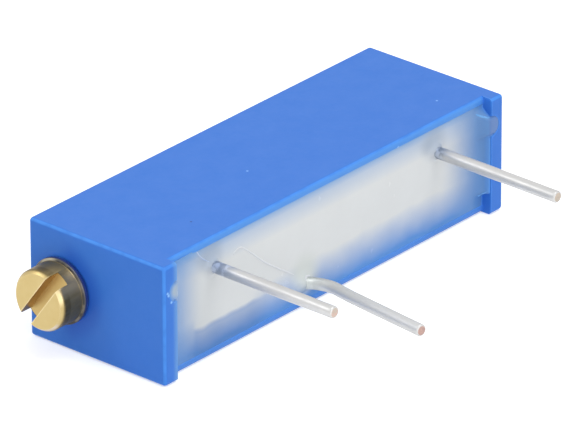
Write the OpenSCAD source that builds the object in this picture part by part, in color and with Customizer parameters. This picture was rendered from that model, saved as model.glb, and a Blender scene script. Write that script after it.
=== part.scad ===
// Rectangular multi-turn trimmer potentiometer, lying on one of its broad sides.
// X runs along the housing from the screw end to the far end, the pins point
// towards -Y, and Z is up. The origin is the centre of the lower broad side.

/* [Housing] */
// Length of the moulded housing from end to end
body_l = 19.05; // [18.9:0.05:20.4]
// Width from the closed side to the faces of the stand-off ridges
body_w = 6.5; // [6.4:0.05:7]
// Height between the two broad sides
body_h = 4.75; // [4.65:0.05:5.2]
// Thickness of the end walls, which carry the ridges
end_wall = 0.7; // [0.6:0.05:0.8]
// Thickness of the long walls at the open rim
rim_wall = 0.32; // [0.25:0.01:0.4]
// Height of the stand-off ridges above the rim
ridge_h = 0.4; // [0.25:0.05:0.5]
// Radius of the notch in each ridge on the line of the outer pins
notch_r = 0.42; // [0.3:0.02:0.5]
// Radius of the housing's outer edges
edge_r = 0.15; // [0.08:0.01:0.2]

/* [Adjusting screw] */
// Diameter of the slotted head
head_d = 2.38; // [2.1:0.02:2.5]
// How far the head stands out of the end of the housing
head_out = 1.34; // [1.1:0.02:1.8]
// Diameter of the thin flange behind the head
flange_d = 2.66; // [2.5:0.02:2.9]
// Thickness of the flange
flange_t = 0.22; // [0.15:0.01:0.3]
// Diameter of the journal that turns in the housing
journal_d = 1.9; // [1.8:0.02:2]
// Outer diameter of the thread
thread_d = 1.6; // [1.4:0.02:1.7]
// How far the carriage moves in one turn
thread_pitch = 0.75; // [0.7:0.01:0.78]
// Turns from one end of the travel to the other
turns = 15; // [13:1:15]
// Width of the screwdriver slot
slot_w = 0.6; // [0.4:0.05:0.7]
// Depth of the screwdriver slot
slot_depth = 0.6; // [0.3:0.05:0.7]
// Lean of the slot from upright towards the pin side, in degrees
slot_lean = 36; // [0:1:180]

/* [Pins] */
// Diameter of the wire
pin_d = 0.46; // [0.44:0.01:0.52]
// Grid step on which the pins stand
grid = 2.54; // [2.5:0.01:2.54]
// Length of the pins beyond the ridges
pin_out = 5.4; // [3:0.1:12]

/* [Element] */
// Thickness of the ceramic plate
plate_t = 0.58; // [0.5:0.02:0.6]
// Thickness of the printed films
film_t = 0.03; // [0.02:0.01:0.04]
// Width of the resistance track
track_w = 0.8; // [0.6:0.05:0.85]
// Width of the collector track
collector_w = 0.76; // [0.7:0.02:0.78]

/* [Fits] */
// Radial clearance between the screw and everything it turns in
run_gap = 0.03; // [0.02:0.01:0.05]
// Gap between the wiper's feet and the films
foot_gap = 0.01; // [0.01:0.01:0.02]

/* [Hidden] */
$fn = 96;
eps = 0.01;

// Planes across the width, from the closed side to the pin tips
y_closed = body_w / 2;
y_ridge = -body_w / 2;
y_rim = y_ridge + ridge_h;
y_resin = y_rim + 0.02;
y_seat = y_rim + 1.23;
y_plate_back = y_seat - plate_t;
y_film = y_seat + film_t;
y_roof = y_closed - 0.5;
y_rail = y_seat + 0.62;
y_tip = y_ridge - pin_out;

// Stations along the length
x_end = body_l / 2;
x_rim = x_end - end_wall;
x_room = [-x_end + 2.775, x_end - 1.575];
room_l = x_room[1] - x_room[0];

// Levels up the height
z_mid = body_h / 2;
z_rim = [rim_wall, body_h - rim_wall];
z_room = [0.6, body_h - 0.6];
z_window = [z_room[0] + 0.56, z_room[1]];

// Screw axis and the steps along it
screw_y = y_roof - 1.13;
x_face = -x_end - head_out;
x_flange = -x_end - 0.04;
x_seal = [-x_end + 1.125, -x_end + 1.825];
x_fork = -x_end + 2.325;
fork_t = 0.25;
fork_groove_r = 0.6;
seal_groove_r = journal_d / 2 - 0.38;
seal_r = 0.19;
tip_r = 0.5;
x_thread_end = x_room[1] - 0.35;
x_tip = x_room[1] + 0.75;

// Carriage
travel = turns * thread_pitch;
room_gap = 0.225;
carriage_l = room_l - travel - 2 * room_gap;
carriage_x = (x_room[0] + x_room[1] - carriage_l) / 2;
carriage_y = [y_seat + 0.77, y_roof - 0.3];
runner_h = 0.12;
slide_gap = 0.03;
post_x = 1.25;
post_r = 0.28;

// Wiper spring
leaf_t = 0.08;
finger_w = 0.18;
finger_step = 0.24;
finger_rows = [z_window[0] + 0.49, z_window[0] + 1.54];
foot_y = y_film + foot_gap;

// Element
plate_x = [x_room[0] - 0.65, x_room[1] + 0.35];
plate_z = [z_window[0] - 0.21, z_window[1] + 0.17];
track_half = travel / 2 + 0.225;
pad_top = body_h - 0.7;
lead_hole_r = pin_d / 2;

// Pins: x and z of each pin, and of the hole where its wire comes through the plate
pin_at = [
    [-2.5 * grid, z_mid + grid / 2],
    [-0.5 * grid, z_mid - grid / 2],
    [2.5 * grid, z_mid + grid / 2]
];
lead_at = [pin_at[0], pin_at[0] + [1.1, -0.145], pin_at[2]];
foot_bend_r = 0.3;
exit_bend_r = 1.3;
lead_y = y_plate_back - foot_bend_r;
key_w = 0.3;
tail_y = y_film + 0.11;
dome_r = 0.34;
dome_h = [0.12, 0.1];

blue = [0.24, 0.46, 0.84];
brass = [0.83, 0.70, 0.42];
tin = [0.82, 0.82, 0.80];
resin = [0.78, 0.81, 0.85];
ceramic = [0.95, 0.94, 0.91];
silver_film = [0.72, 0.72, 0.70];

// Round bar along X from x0 to x1
module bar_x(x0, x1, r) {
    translate([x0, 0, 0])
        rotate([0, 90, 0])
            cylinder(h = x1 - x0, r = r);
}

// Round bar along Y from y0 to y1
module bar_y(y0, y1, r) {
    translate([0, y0, 0])
        rotate([-90, 0, 0])
            cylinder(h = y1 - y0, r = r);
}

// Box between two corners
module block(low, high) {
    translate(low)
        cube(high - low);
}

// Rectangle about the origin with round corners
module round_rect(w, h, r) {
    square([w, h - 2 * r], center = true);
    square([w - 2 * r, h], center = true);
    for (sx = [-1, 1], sy = [-1, 1])
        translate([sx * (w / 2 - r), sy * (h / 2 - r)])
            circle(r = r);
}

// Outer form: round edges all over, and a rim that is lower between the ridges
module housing_block() {
    difference() {
        intersection() {
            linear_extrude(height = body_h)
                round_rect(body_l, body_w, edge_r);
            translate([-x_end, 0, z_mid])
                rotate([90, 0, 90])
                    linear_extrude(height = body_l)
                        round_rect(body_w, body_h, edge_r);
            translate([0, y_closed, z_mid])
                rotate([90, 0, 0])
                    linear_extrude(height = body_w)
                        round_rect(body_l, body_h, edge_r);
        }
        block([-x_rim, y_ridge - eps, -eps], [x_rim, y_rim, body_h + eps]);
    }
}

// Moulded box with the resin recess, the mechanism's room and the screw's bores
module housing() {
    color(blue)
        difference() {
            housing_block();
            block([-x_rim, y_rim - eps, z_rim[0]], [x_rim, y_seat, z_rim[1]]);
            block([x_room[0], y_seat - eps, z_window[0]], [x_room[1], y_rail + eps, z_window[1]]);
            block([x_room[0], y_rail, z_room[0]], [x_room[1], y_roof, z_room[1]]);
            translate([0, screw_y, z_mid]) {
                bar_x(-x_end - eps, x_room[0] + eps, journal_d / 2 + run_gap);
                bar_x(x_room[1] - eps, x_tip + 0.15, tip_r + run_gap);
            }
            block(
                [x_fork - fork_t / 2 - 0.015, y_seat - eps, z_mid - 1.05],
                [x_fork + fork_t / 2 + 0.015, screw_y + 0.88, z_mid + 1.05]
            );
            for (side = [-1, 1])
                translate([side * x_rim, 0, pin_at[0][1]])
                    bar_y(y_ridge - eps, y_rim, notch_r);
        }
}

// Turned screw: head, flange, journal with two grooves, thread and tip journal
module adjusting_screw() {
    jr = journal_d / 2;
    hr = head_d / 2;
    color(brass)
        translate([0, screw_y, z_mid])
            difference() {
                rotate([0, 90, 0])
                    rotate_extrude()
                        polygon([
                            [0, x_face], [hr - 0.12, x_face], [hr, x_face + 0.12],
                            [hr, x_flange - flange_t], [flange_d / 2, x_flange - flange_t],
                            [flange_d / 2, x_flange], [jr, x_flange],
                            [jr, x_seal[0]], [seal_groove_r, x_seal[0]],
                            [seal_groove_r, x_seal[1]], [jr, x_seal[1]],
                            [jr, x_fork - 0.16], [fork_groove_r, x_fork - 0.16],
                            [fork_groove_r, x_fork + 0.16], [jr, x_fork + 0.16],
                            [jr, x_room[0]], [thread_d / 2, x_room[0]],
                            [thread_d / 2, x_thread_end], [tip_r, x_thread_end],
                            [tip_r, x_tip], [0, x_tip]
                        ]);
                rotate([slot_lean, 0, 0])
                    block(
                        [x_face - eps, -slot_w / 2, -hr - eps],
                        [x_face + slot_depth, slot_w / 2, hr + eps]
                    );
            }
}

// Soft ring in the first groove of the journal
module shaft_seal() {
    color([0.16, 0.15, 0.15])
        translate([(x_seal[0] + x_seal[1]) / 2, screw_y, z_mid])
            rotate([0, 90, 0])
                rotate_extrude()
                    translate([seal_groove_r + seal_r + 0.005, 0])
                        circle(r = seal_r);
}

// Flat steel fork whose legs stand astride the second groove
module retaining_fork() {
    color([0.70, 0.72, 0.74])
        translate([x_fork - fork_t / 2, screw_y, z_mid])
            rotate([90, 0, 90])
                linear_extrude(height = fork_t)
                    difference() {
                        translate([-1.75, -1.05])
                            square([2.6, 2.1]);
                        circle(r = fork_groove_r + run_gap);
                        translate([0, -fork_groove_r - run_gap])
                            square([1, 2 * (fork_groove_r + run_gap)]);
                    }
}

// Block that rides on the screw: saddle, four runners and a post for the spring
module carriage() {
    inner_z = [z_room[0] + slide_gap + runner_h, z_room[1] - slide_gap - runner_h];
    color([0.93, 0.92, 0.88]) {
        difference() {
            union() {
                block(
                    [carriage_x, carriage_y[0], inner_z[0]],
                    [carriage_x + carriage_l, carriage_y[1], inner_z[1]]
                );
                for (x = [carriage_x, carriage_x + carriage_l - 0.6])
                    block(
                        [x, carriage_y[0] + 0.1, z_room[0] + slide_gap],
                        [x + 0.6, carriage_y[0] + 1.1, z_room[1] - slide_gap]
                    );
            }
            translate([0, screw_y, z_mid])
                bar_x(x_room[0], x_room[1], thread_d / 2 + run_gap);
            block(
                [x_room[0], screw_y, z_mid - thread_d / 2 - run_gap],
                [x_room[1], y_roof, z_mid + thread_d / 2 + run_gap]
            );
        }
        translate([post_x, 0, (finger_rows[0] + finger_rows[1]) / 2]) {
            bar_y(carriage_y[0] - leaf_t - 0.02, carriage_y[0] + eps, post_r);
            bar_y(carriage_y[0] - leaf_t - 0.12, carriage_y[0] - leaf_t, post_r + 0.12);
        }
    }
}

// Unit normal of the step from point a to point b
function normal(a, b) = let (d = b - a) [-d[1], d[0]] / norm(d);

// Side of a strip of thickness t about the centre line p, shifted by side * t / 2
function strip_side(p, t, side) = [
    for (i = [0 : len(p) - 1])
        let (
            n0 = normal(p[max(i - 1, 0)], p[max(i, 1)]),
            n1 = normal(p[min(i, len(p) - 2)], p[min(i + 1, len(p) - 1)]),
            m = (n0 + n1) / norm(n0 + n1)
        )
        p[i] + side * t / 2 / (m * n0) * m
];

// Outline of a thin strip along a centre line
function strip(p, t) = concat(
    strip_side(p, t, 1),
    [for (q = [len(p) - 1 : -1 : 0]) strip_side(p, t, -1)[q]]
);

// Stamped leaf: a plate on the carriage's post and two rows of sprung fingers
module wiper_spring() {
    plate_y = carriage_y[0] - leaf_t / 2;
    foot = foot_y + leaf_t / 2;
    finger = [
        [0.95, plate_y], [0.72, plate_y], [0.62, plate_y - 0.04],
        [0.14, foot + 0.07], [0.05, foot + 0.01], [0, foot],
        [-0.05, foot + 0.01], [-0.14, foot + 0.07], [-0.26, foot + 0.2]
    ];
    color([0.85, 0.78, 0.60]) {
        difference() {
            block(
                [0.8, carriage_y[0] - leaf_t, finger_rows[0] - 0.45],
                [1.75, carriage_y[0], finger_rows[1] + 0.45]
            );
            translate([post_x, 0, (finger_rows[0] + finger_rows[1]) / 2])
                bar_y(carriage_y[0] - 1, carriage_y[0] + 1, post_r + 0.02);
        }
        for (row = finger_rows, i = [-1 : 1])
            translate([0, 0, row + i * finger_step - finger_w / 2])
                linear_extrude(height = finger_w)
                    polygon(strip(finger, leaf_t));
    }
}

// Ceramic plate with a hole for each wire
module substrate() {
    color(ceramic)
        difference() {
            block([plate_x[0], y_plate_back, plate_z[0]], [plate_x[1], y_seat, plate_z[1]]);
            for (p = lead_at)
                translate([p[0], 0, p[1]])
                    bar_y(y_plate_back - eps, y_seat + eps, lead_hole_r);
        }
}

// One printed film between two corners of the plate's inner face
module film(x, z) {
    block([x[0], y_seat, z[0]], [x[1], y_film, z[1]]);
}

// Dark film that the first row of fingers rides on
module resistance_track() {
    color([0.16, 0.15, 0.15])
        film(
            [-track_half, track_half],
            [finger_rows[0] - track_w / 2, finger_rows[0] + track_w / 2]
        );
}

// Metal film that the second row rides on, with a tab up to the middle wire
module collector_track() {
    hole = lead_at[1];
    half = track_half - 0.2;
    color(silver_film)
        difference() {
            union() {
                film([-half, half], [finger_rows[1] - collector_w / 2, finger_rows[1] + collector_w / 2]);
                film([-half, hole[0] + 0.4], [finger_rows[1], hole[1] + 0.4]);
            }
            translate([hole[0], 0, hole[1]])
                bar_y(y_seat - eps, y_film + eps, lead_hole_r);
        }
}

// Metal film from one end of the resistance track up round an outer wire's hole
module end_pad(x, hole) {
    color(silver_film)
        difference() {
            film(x, [finger_rows[0] - track_w / 2, pad_top]);
            translate([hole[0], 0, hole[1]])
                bar_y(y_seat - eps, y_film + eps, lead_hole_r);
        }
}

module end_pad_1() {
    end_pad([x_room[0] + 0.03, -track_half], lead_at[0]);
}

module end_pad_3() {
    end_pad([track_half, -x_room[0] - 0.03], lead_at[2]);
}

// Solder over the tail of a wire: a spreading foot and a rounded top
module solder_joint(at) {
    neck_r = dome_r - 0.06;
    color([0.74, 0.75, 0.76])
        translate([at[0], y_film, at[1]])
            rotate([-90, 0, 0])
                difference() {
                    union() {
                        cylinder(h = dome_h[0], r1 = dome_r, r2 = neck_r);
                        translate([0, 0, dome_h[0]])
                            cylinder(h = dome_h[1], r1 = neck_r, r2 = neck_r - 0.14);
                    }
                    translate([0, 0, -eps])
                        cylinder(h = tail_y - y_film + eps, r = pin_d / 2);
                }
}

module solder_joint_1() {
    solder_joint(lead_at[0]);
}

module solder_joint_2() {
    solder_joint(lead_at[1]);
}

module solder_joint_3() {
    solder_joint(lead_at[2]);
}

// Straight length of wire from y1 out to the chamfered cut end
module wire_out(y1) {
    chamfer = 0.04;
    bar_y(y_tip + chamfer, y1, pin_d / 2);
    translate([0, y_tip, 0])
        rotate([-90, 0, 0])
            cylinder(h = chamfer, r1 = pin_d / 2 - chamfer, r2 = pin_d / 2);
}

// Quarter turn of wire about the origin, from the +X side to the +Y side
module wire_bend(r) {
    rotate_extrude(angle = 90)
        translate([r, 0])
            circle(d = pin_d);
}

// Outer pin: straight wire, with a length in the resin that is pressed square
module straight_pin(at) {
    color(tin)
        translate([at[0], 0, at[1]]) {
            wire_out(y_resin - 0.02);
            block([-key_w / 2, y_resin - 0.03, -key_w / 2], [key_w / 2, y_plate_back + eps, key_w / 2]);
            bar_y(y_plate_back, tail_y, pin_d / 2);
        }
}

module pin_1() {
    straight_pin(pin_at[0]);
}

// Middle pin: out of its solder, along the back of the plate, and out to its tip
module pin_2() {
    run = lead_at[1] - pin_at[1];
    run_l = norm(run);
    color(tin)
        translate([pin_at[1][0], 0, pin_at[1][1]])
            rotate([0, atan2(run[1], -run[0]), 0]) {
                wire_out(lead_y - exit_bend_r);
                translate([-exit_bend_r, lead_y - exit_bend_r, 0])
                    wire_bend(exit_bend_r);
                translate([0, lead_y, 0])
                    bar_x(-run_l + foot_bend_r, -exit_bend_r, pin_d / 2);
                translate([-run_l + foot_bend_r, lead_y + foot_bend_r, 0])
                    rotate([0, 0, 180])
                        wire_bend(foot_bend_r);
                translate([-run_l, 0, 0])
                    bar_y(lead_y + foot_bend_r, tail_y, pin_d / 2);
            }
}

module pin_3() {
    straight_pin(pin_at[2]);
}

// Resin that fills the recess around the plate and the wires
module potting() {
    color(resin)
        difference() {
            block([-x_rim, y_resin, z_rim[0]], [x_rim, y_seat, z_rim[1]]);
            block([plate_x[0], y_plate_back, plate_z[0]], [plate_x[1], y_seat + eps, plate_z[1]]);
            pin_1();
            pin_2();
            pin_3();
        }
}

housing();
adjusting_screw();
shaft_seal();
retaining_fork();
carriage();
wiper_spring();
substrate();
resistance_track();
collector_track();
end_pad_1();
end_pad_3();
solder_joint_1();
solder_joint_2();
solder_joint_3();
pin_1();
pin_2();
pin_3();
potting();
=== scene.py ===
"""Looks of a rectangular multi-turn trimmer potentiometer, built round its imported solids."""

import functools
import logging
import math
from collections.abc import Callable, Iterable, Sequence
from dataclasses import dataclass, replace
from enum import Enum

import bmesh
import bpy
from mathutils import Matrix, Vector, noise


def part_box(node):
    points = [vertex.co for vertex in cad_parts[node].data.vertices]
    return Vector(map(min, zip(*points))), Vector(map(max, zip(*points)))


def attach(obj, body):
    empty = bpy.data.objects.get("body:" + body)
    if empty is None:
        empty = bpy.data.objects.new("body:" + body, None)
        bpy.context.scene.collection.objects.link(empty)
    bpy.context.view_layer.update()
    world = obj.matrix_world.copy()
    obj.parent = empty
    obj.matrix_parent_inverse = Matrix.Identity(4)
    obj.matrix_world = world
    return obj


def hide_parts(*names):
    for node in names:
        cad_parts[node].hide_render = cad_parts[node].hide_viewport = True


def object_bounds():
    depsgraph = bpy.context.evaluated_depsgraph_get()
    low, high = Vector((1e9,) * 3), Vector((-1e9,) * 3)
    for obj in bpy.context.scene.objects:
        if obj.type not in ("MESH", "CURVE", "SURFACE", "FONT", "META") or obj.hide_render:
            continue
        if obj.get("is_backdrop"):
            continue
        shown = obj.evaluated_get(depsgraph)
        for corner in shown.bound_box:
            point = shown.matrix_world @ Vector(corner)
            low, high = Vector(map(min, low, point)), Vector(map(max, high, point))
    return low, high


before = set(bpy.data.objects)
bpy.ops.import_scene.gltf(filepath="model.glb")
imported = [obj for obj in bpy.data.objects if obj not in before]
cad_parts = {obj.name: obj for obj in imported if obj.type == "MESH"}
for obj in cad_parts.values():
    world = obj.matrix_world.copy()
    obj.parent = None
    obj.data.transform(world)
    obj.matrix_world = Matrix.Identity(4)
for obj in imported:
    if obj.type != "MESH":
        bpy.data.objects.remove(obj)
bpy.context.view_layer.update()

LOG = logging.getLogger("trimmer")
MM = 0.001
FULL_TURN = 2 * math.pi
NEAR = 1e-3
WHITE = (1.0, 1.0, 1.0)

Colour = tuple[float, float, float]
Point = Sequence[float]
Plug = float | Sequence[float] | bpy.types.NodeSocket
Wash = tuple[Plug, Plug]
Outline = Sequence[tuple[float, float]]


class Body(Enum):
    """Bodies of the model that pieces ride on."""

    HOUSING = "housing_body"
    SCREW = "screw_body"
    CARRIAGE = "carriage_body"


class Slot(Enum):
    """Material slots of the record that the made pieces take."""

    HOUSING = "housing_plastic"
    SCREW = "screw_brass"
    CARRIAGE = "carriage_plastic"
    SOLDER = "solder"
    PIN = "tinned_copper"
    RESIN = "potting_resin"


# ---------------------------------------------------------------- geometry


def box_mm(node: str) -> tuple[Vector, Vector]:
    """Lowest and highest corners of a solid, in millimetres."""
    low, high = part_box(node)
    return low / MM, high / MM


def middle_mm(node: str) -> Vector:
    """Middle of a solid's box, in millimetres."""
    return sum(box_mm(node), Vector()) / 2


def smooth(value: float, low: float, high: float) -> float:
    """Smooth step of value from 0 at low to 1 at high; low may be the greater."""
    t = min(max((value - low) / (high - low), 0.0), 1.0)
    return t * t * (3 - 2 * t)


def quarter_round(radius: float, steps: int) -> list[tuple[float, float]]:
    """Points of a rounded edge, each by its depth below the face and its inset from the side."""
    angles = (math.pi / 2 * i / steps for i in range(steps + 1))
    return [(radius * (1 - math.cos(a)), radius * (1 - math.sin(a))) for a in angles]


def ring(centre: Vector, side: Vector, up: Vector, radius: float, steps: int) -> list[Vector]:
    """Points of a circle round a centre, in the plane of two directions."""
    angles = (FULL_TURN * i / steps for i in range(steps))
    return [centre + (side * math.cos(a) + up * math.sin(a)) * radius for a in angles]


def directions(points: Sequence[Vector]) -> list[Vector]:
    """Direction of a line of points at each of them."""
    neighbours = zip([points[0], *points], [*points[1:], points[-1]])
    return [(after - before).normalized() for before, after in neighbours]


def toward(azimuth: float, elevation: float) -> Vector:
    """Unit vector to where the object is seen from at an azimuth and an elevation, in degrees."""
    a, e = math.radians(azimuth), math.radians(elevation)
    return Vector((math.sin(a) * math.cos(e), -math.cos(a) * math.cos(e), math.sin(e)))


class Stock:
    """A closed body, in millimetres, that is shaped with tools and then made into a piece."""

    flat_angle = math.radians(0.2)
    sharp_angle = math.radians(25)
    weld = 1e-5

    def __init__(self) -> None:
        """Starts empty."""
        self.bm = bmesh.new()

    @classmethod
    def block(cls, low: Point, high: Point) -> "Stock":
        """Box between two corners."""
        outline = [(low[1], low[2]), (high[1], low[2]), (high[1], high[2]), (low[1], high[2])]
        return cls.prism(outline, 0, low[0], high[0])

    @classmethod
    def prism(cls, outline: Outline, axis: int, start: float, end: float) -> "Stock":
        """Extrudes a closed outline, given in the plane of the other two axes, along axis 0, 1 or 2."""
        return cls.loft([[Vector((*corner[:axis], along, *corner[axis:])) for corner in outline]
                         for along in (start, end)])

    @classmethod
    def loft(cls, rings: Sequence[Sequence[Vector]], cap_material: int = 0) -> "Stock":
        """Skins rings of equal length and closes both ends.

        Args:
            rings: The rings, in order.
            cap_material: Material index of the face that closes the last ring.

        Returns:
            The new body.
        """
        stock = cls()
        bm = stock.bm
        rows = [[bm.verts.new(p) for p in points] for points in rings]
        count = len(rows[0])
        for a, b in zip(rows, rows[1:]):
            for i in range(count):
                bm.faces.new((a[i], a[(i + 1) % count], b[(i + 1) % count], b[i]))
        bm.faces.new(rows[0][::-1])
        bm.faces.new(rows[-1]).material_index = cap_material
        bmesh.ops.recalc_face_normals(bm, faces=bm.faces)
        return stock

    @classmethod
    def turned(cls, profile: Iterable[tuple[float, float]], centre: Point, steps: int = 64, axis: int = 0,
               lift: Callable[[float, float], float] | None = None) -> "Stock":
        """Turns a profile about a line parallel to X or Y.

        Args:
            profile: Pairs of place along the axis and radius.
            centre: A point on the axis.
            steps: Chords round the axis.
            axis: 0 for X, 1 for Y.
            lift: Added to the radius, from the place along the axis and the angle.

        Returns:
            The new body.
        """
        rings = []
        for along, radius in profile:
            spots = []
            for angle in (FULL_TURN * i / steps for i in range(steps)):
                reach = radius + (lift(along, angle) if lift else 0.0)
                across, up = reach * math.cos(angle), centre[2] + reach * math.sin(angle)
                spot = (along, centre[1] + across, up) if axis == 0 else (centre[0] + across, along, up)
                spots.append(Vector(spot))
            rings.append(spots)
        return cls.loft(rings)

    def _applied(self, tools: Sequence["Stock"], operation: str) -> "Stock":
        """Runs boolean tools on the body.

        Args:
            tools: The tools, in order.
            operation: What each of them does.

        Returns:
            The body itself.
        """
        made = []
        for stock in (self, *tools):
            mesh = bpy.data.meshes.new("stock")
            stock.bm.to_mesh(mesh)
            made.append(bpy.data.objects.new("stock", mesh))
            bpy.context.scene.collection.objects.link(made[-1])
        for tool in made[1:]:
            cutter = made[0].modifiers.new("tool", "BOOLEAN")
            cutter.operation = operation
            cutter.solver = "MANIFOLD"
            cutter.object = tool
        bpy.context.view_layer.update()
        graph = bpy.context.evaluated_depsgraph_get()
        result = bpy.data.meshes.new_from_object(made[0].evaluated_get(graph))
        self.bm.clear()
        self.bm.from_mesh(result)
        bpy.data.meshes.remove(result)
        for item in made:
            mesh = item.data
            bpy.data.objects.remove(item)
            bpy.data.meshes.remove(mesh)
        bmesh.ops.remove_doubles(self.bm, verts=self.bm.verts, dist=self.weld)
        return self

    def _tidied(self) -> "Stock":
        """Joins flat faces that the tools split.

        Returns:
            The body itself.
        """
        bmesh.ops.dissolve_limit(self.bm, angle_limit=self.flat_angle, verts=self.bm.verts,
                                 edges=self.bm.edges, delimit={"MATERIAL"})
        return self

    def cut(self, *tools: "Stock") -> "Stock":
        """Takes the tools' volumes away."""
        return self._applied(tools, "DIFFERENCE")._tidied()

    def join(self, *tools: "Stock") -> "Stock":
        """Adds the tools' volumes."""
        return self._applied(tools, "UNION")._tidied()

    def trim(self, tool: "Stock", operation: str = "INTERSECT") -> "Stock":
        """Shapes a wavy body with one tool and leaves its gentle waves as they are."""
        return self._applied([tool], operation)

    def absorb(self, other: "Stock", material: int) -> "Stock":
        """Adds a body that stays closed on its own, in another material.

        Args:
            other: The body to add.
            material: Index of its material.

        Returns:
            The body itself.
        """
        for face in other.bm.faces:
            face.material_index = material
        mesh = bpy.data.meshes.new("stock")
        other.bm.to_mesh(mesh)
        self.bm.from_mesh(mesh)
        bpy.data.meshes.remove(mesh)
        return self

    def soften(self, width: float, segments: int,
               chosen: Callable[[bmesh.types.BMEdge], bool] | None = None) -> "Stock":
        """Rounds sharp outer edges.

        Args:
            width: Width of the rounding.
            segments: Faces across it.
            chosen: Says which of them to round; all of them where it isn't given.

        Returns:
            The body itself.
        """
        edges = [e for e in self.bm.edges
                 if len(e.link_faces) == 2 and e.calc_face_angle_signed(0) > self.sharp_angle
                 and (chosen is None or chosen(e))]
        bmesh.ops.bevel(self.bm, geom=edges, offset=width, segments=segments, profile=0.5,
                        affect="EDGES", clamp_overlap=True)
        return self

    def piece(self, name: str, body: Body, slot: Slot, looks: Sequence[bpy.types.Material],
              replaces: Sequence[str], sharp_deg: float = 38.0) -> bpy.types.Object:
        """Makes the visible piece.

        Args:
            name: Name of the piece.
            body: Body that it rides on.
            slot: Record slot of the piece; not used.
            looks: Its materials, in the order of the face indices.
            replaces: Solids that it stands for.
            sharp_deg: Edges over this angle stay sharp.

        Returns:
            The object.
        """
        mesh = bpy.data.meshes.new(name)
        bmesh.ops.recalc_face_normals(self.bm, faces=self.bm.faces)
        self.bm.to_mesh(mesh)
        self.bm.free()
        mesh.transform(Matrix.Scale(MM, 4))
        mesh.polygons.foreach_set("use_smooth", [True] * len(mesh.polygons))
        mesh.set_sharp_from_angle(angle=math.radians(sharp_deg))
        for look in looks:
            mesh.materials.append(look)
        made = bpy.data.objects.new(name, mesh)
        bpy.context.scene.collection.objects.link(made)
        weights = made.modifiers.new("even normals", "WEIGHTED_NORMAL")
        weights.keep_sharp = True
        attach(made, body.value)
        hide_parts(*replaces)
        LOG.info("%s: %d faces on %s", name, len(mesh.polygons), body.value)
        return made


# ---------------------------------------------------------------- shader effects


@dataclass(frozen=True)
class Fade:
    """Soft change of a mask: from its first value at the start to its last value at the end."""

    start: float
    end: float
    last: float = 1.0
    first: float = 0.0
    kind: str = "SMOOTHSTEP"


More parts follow.
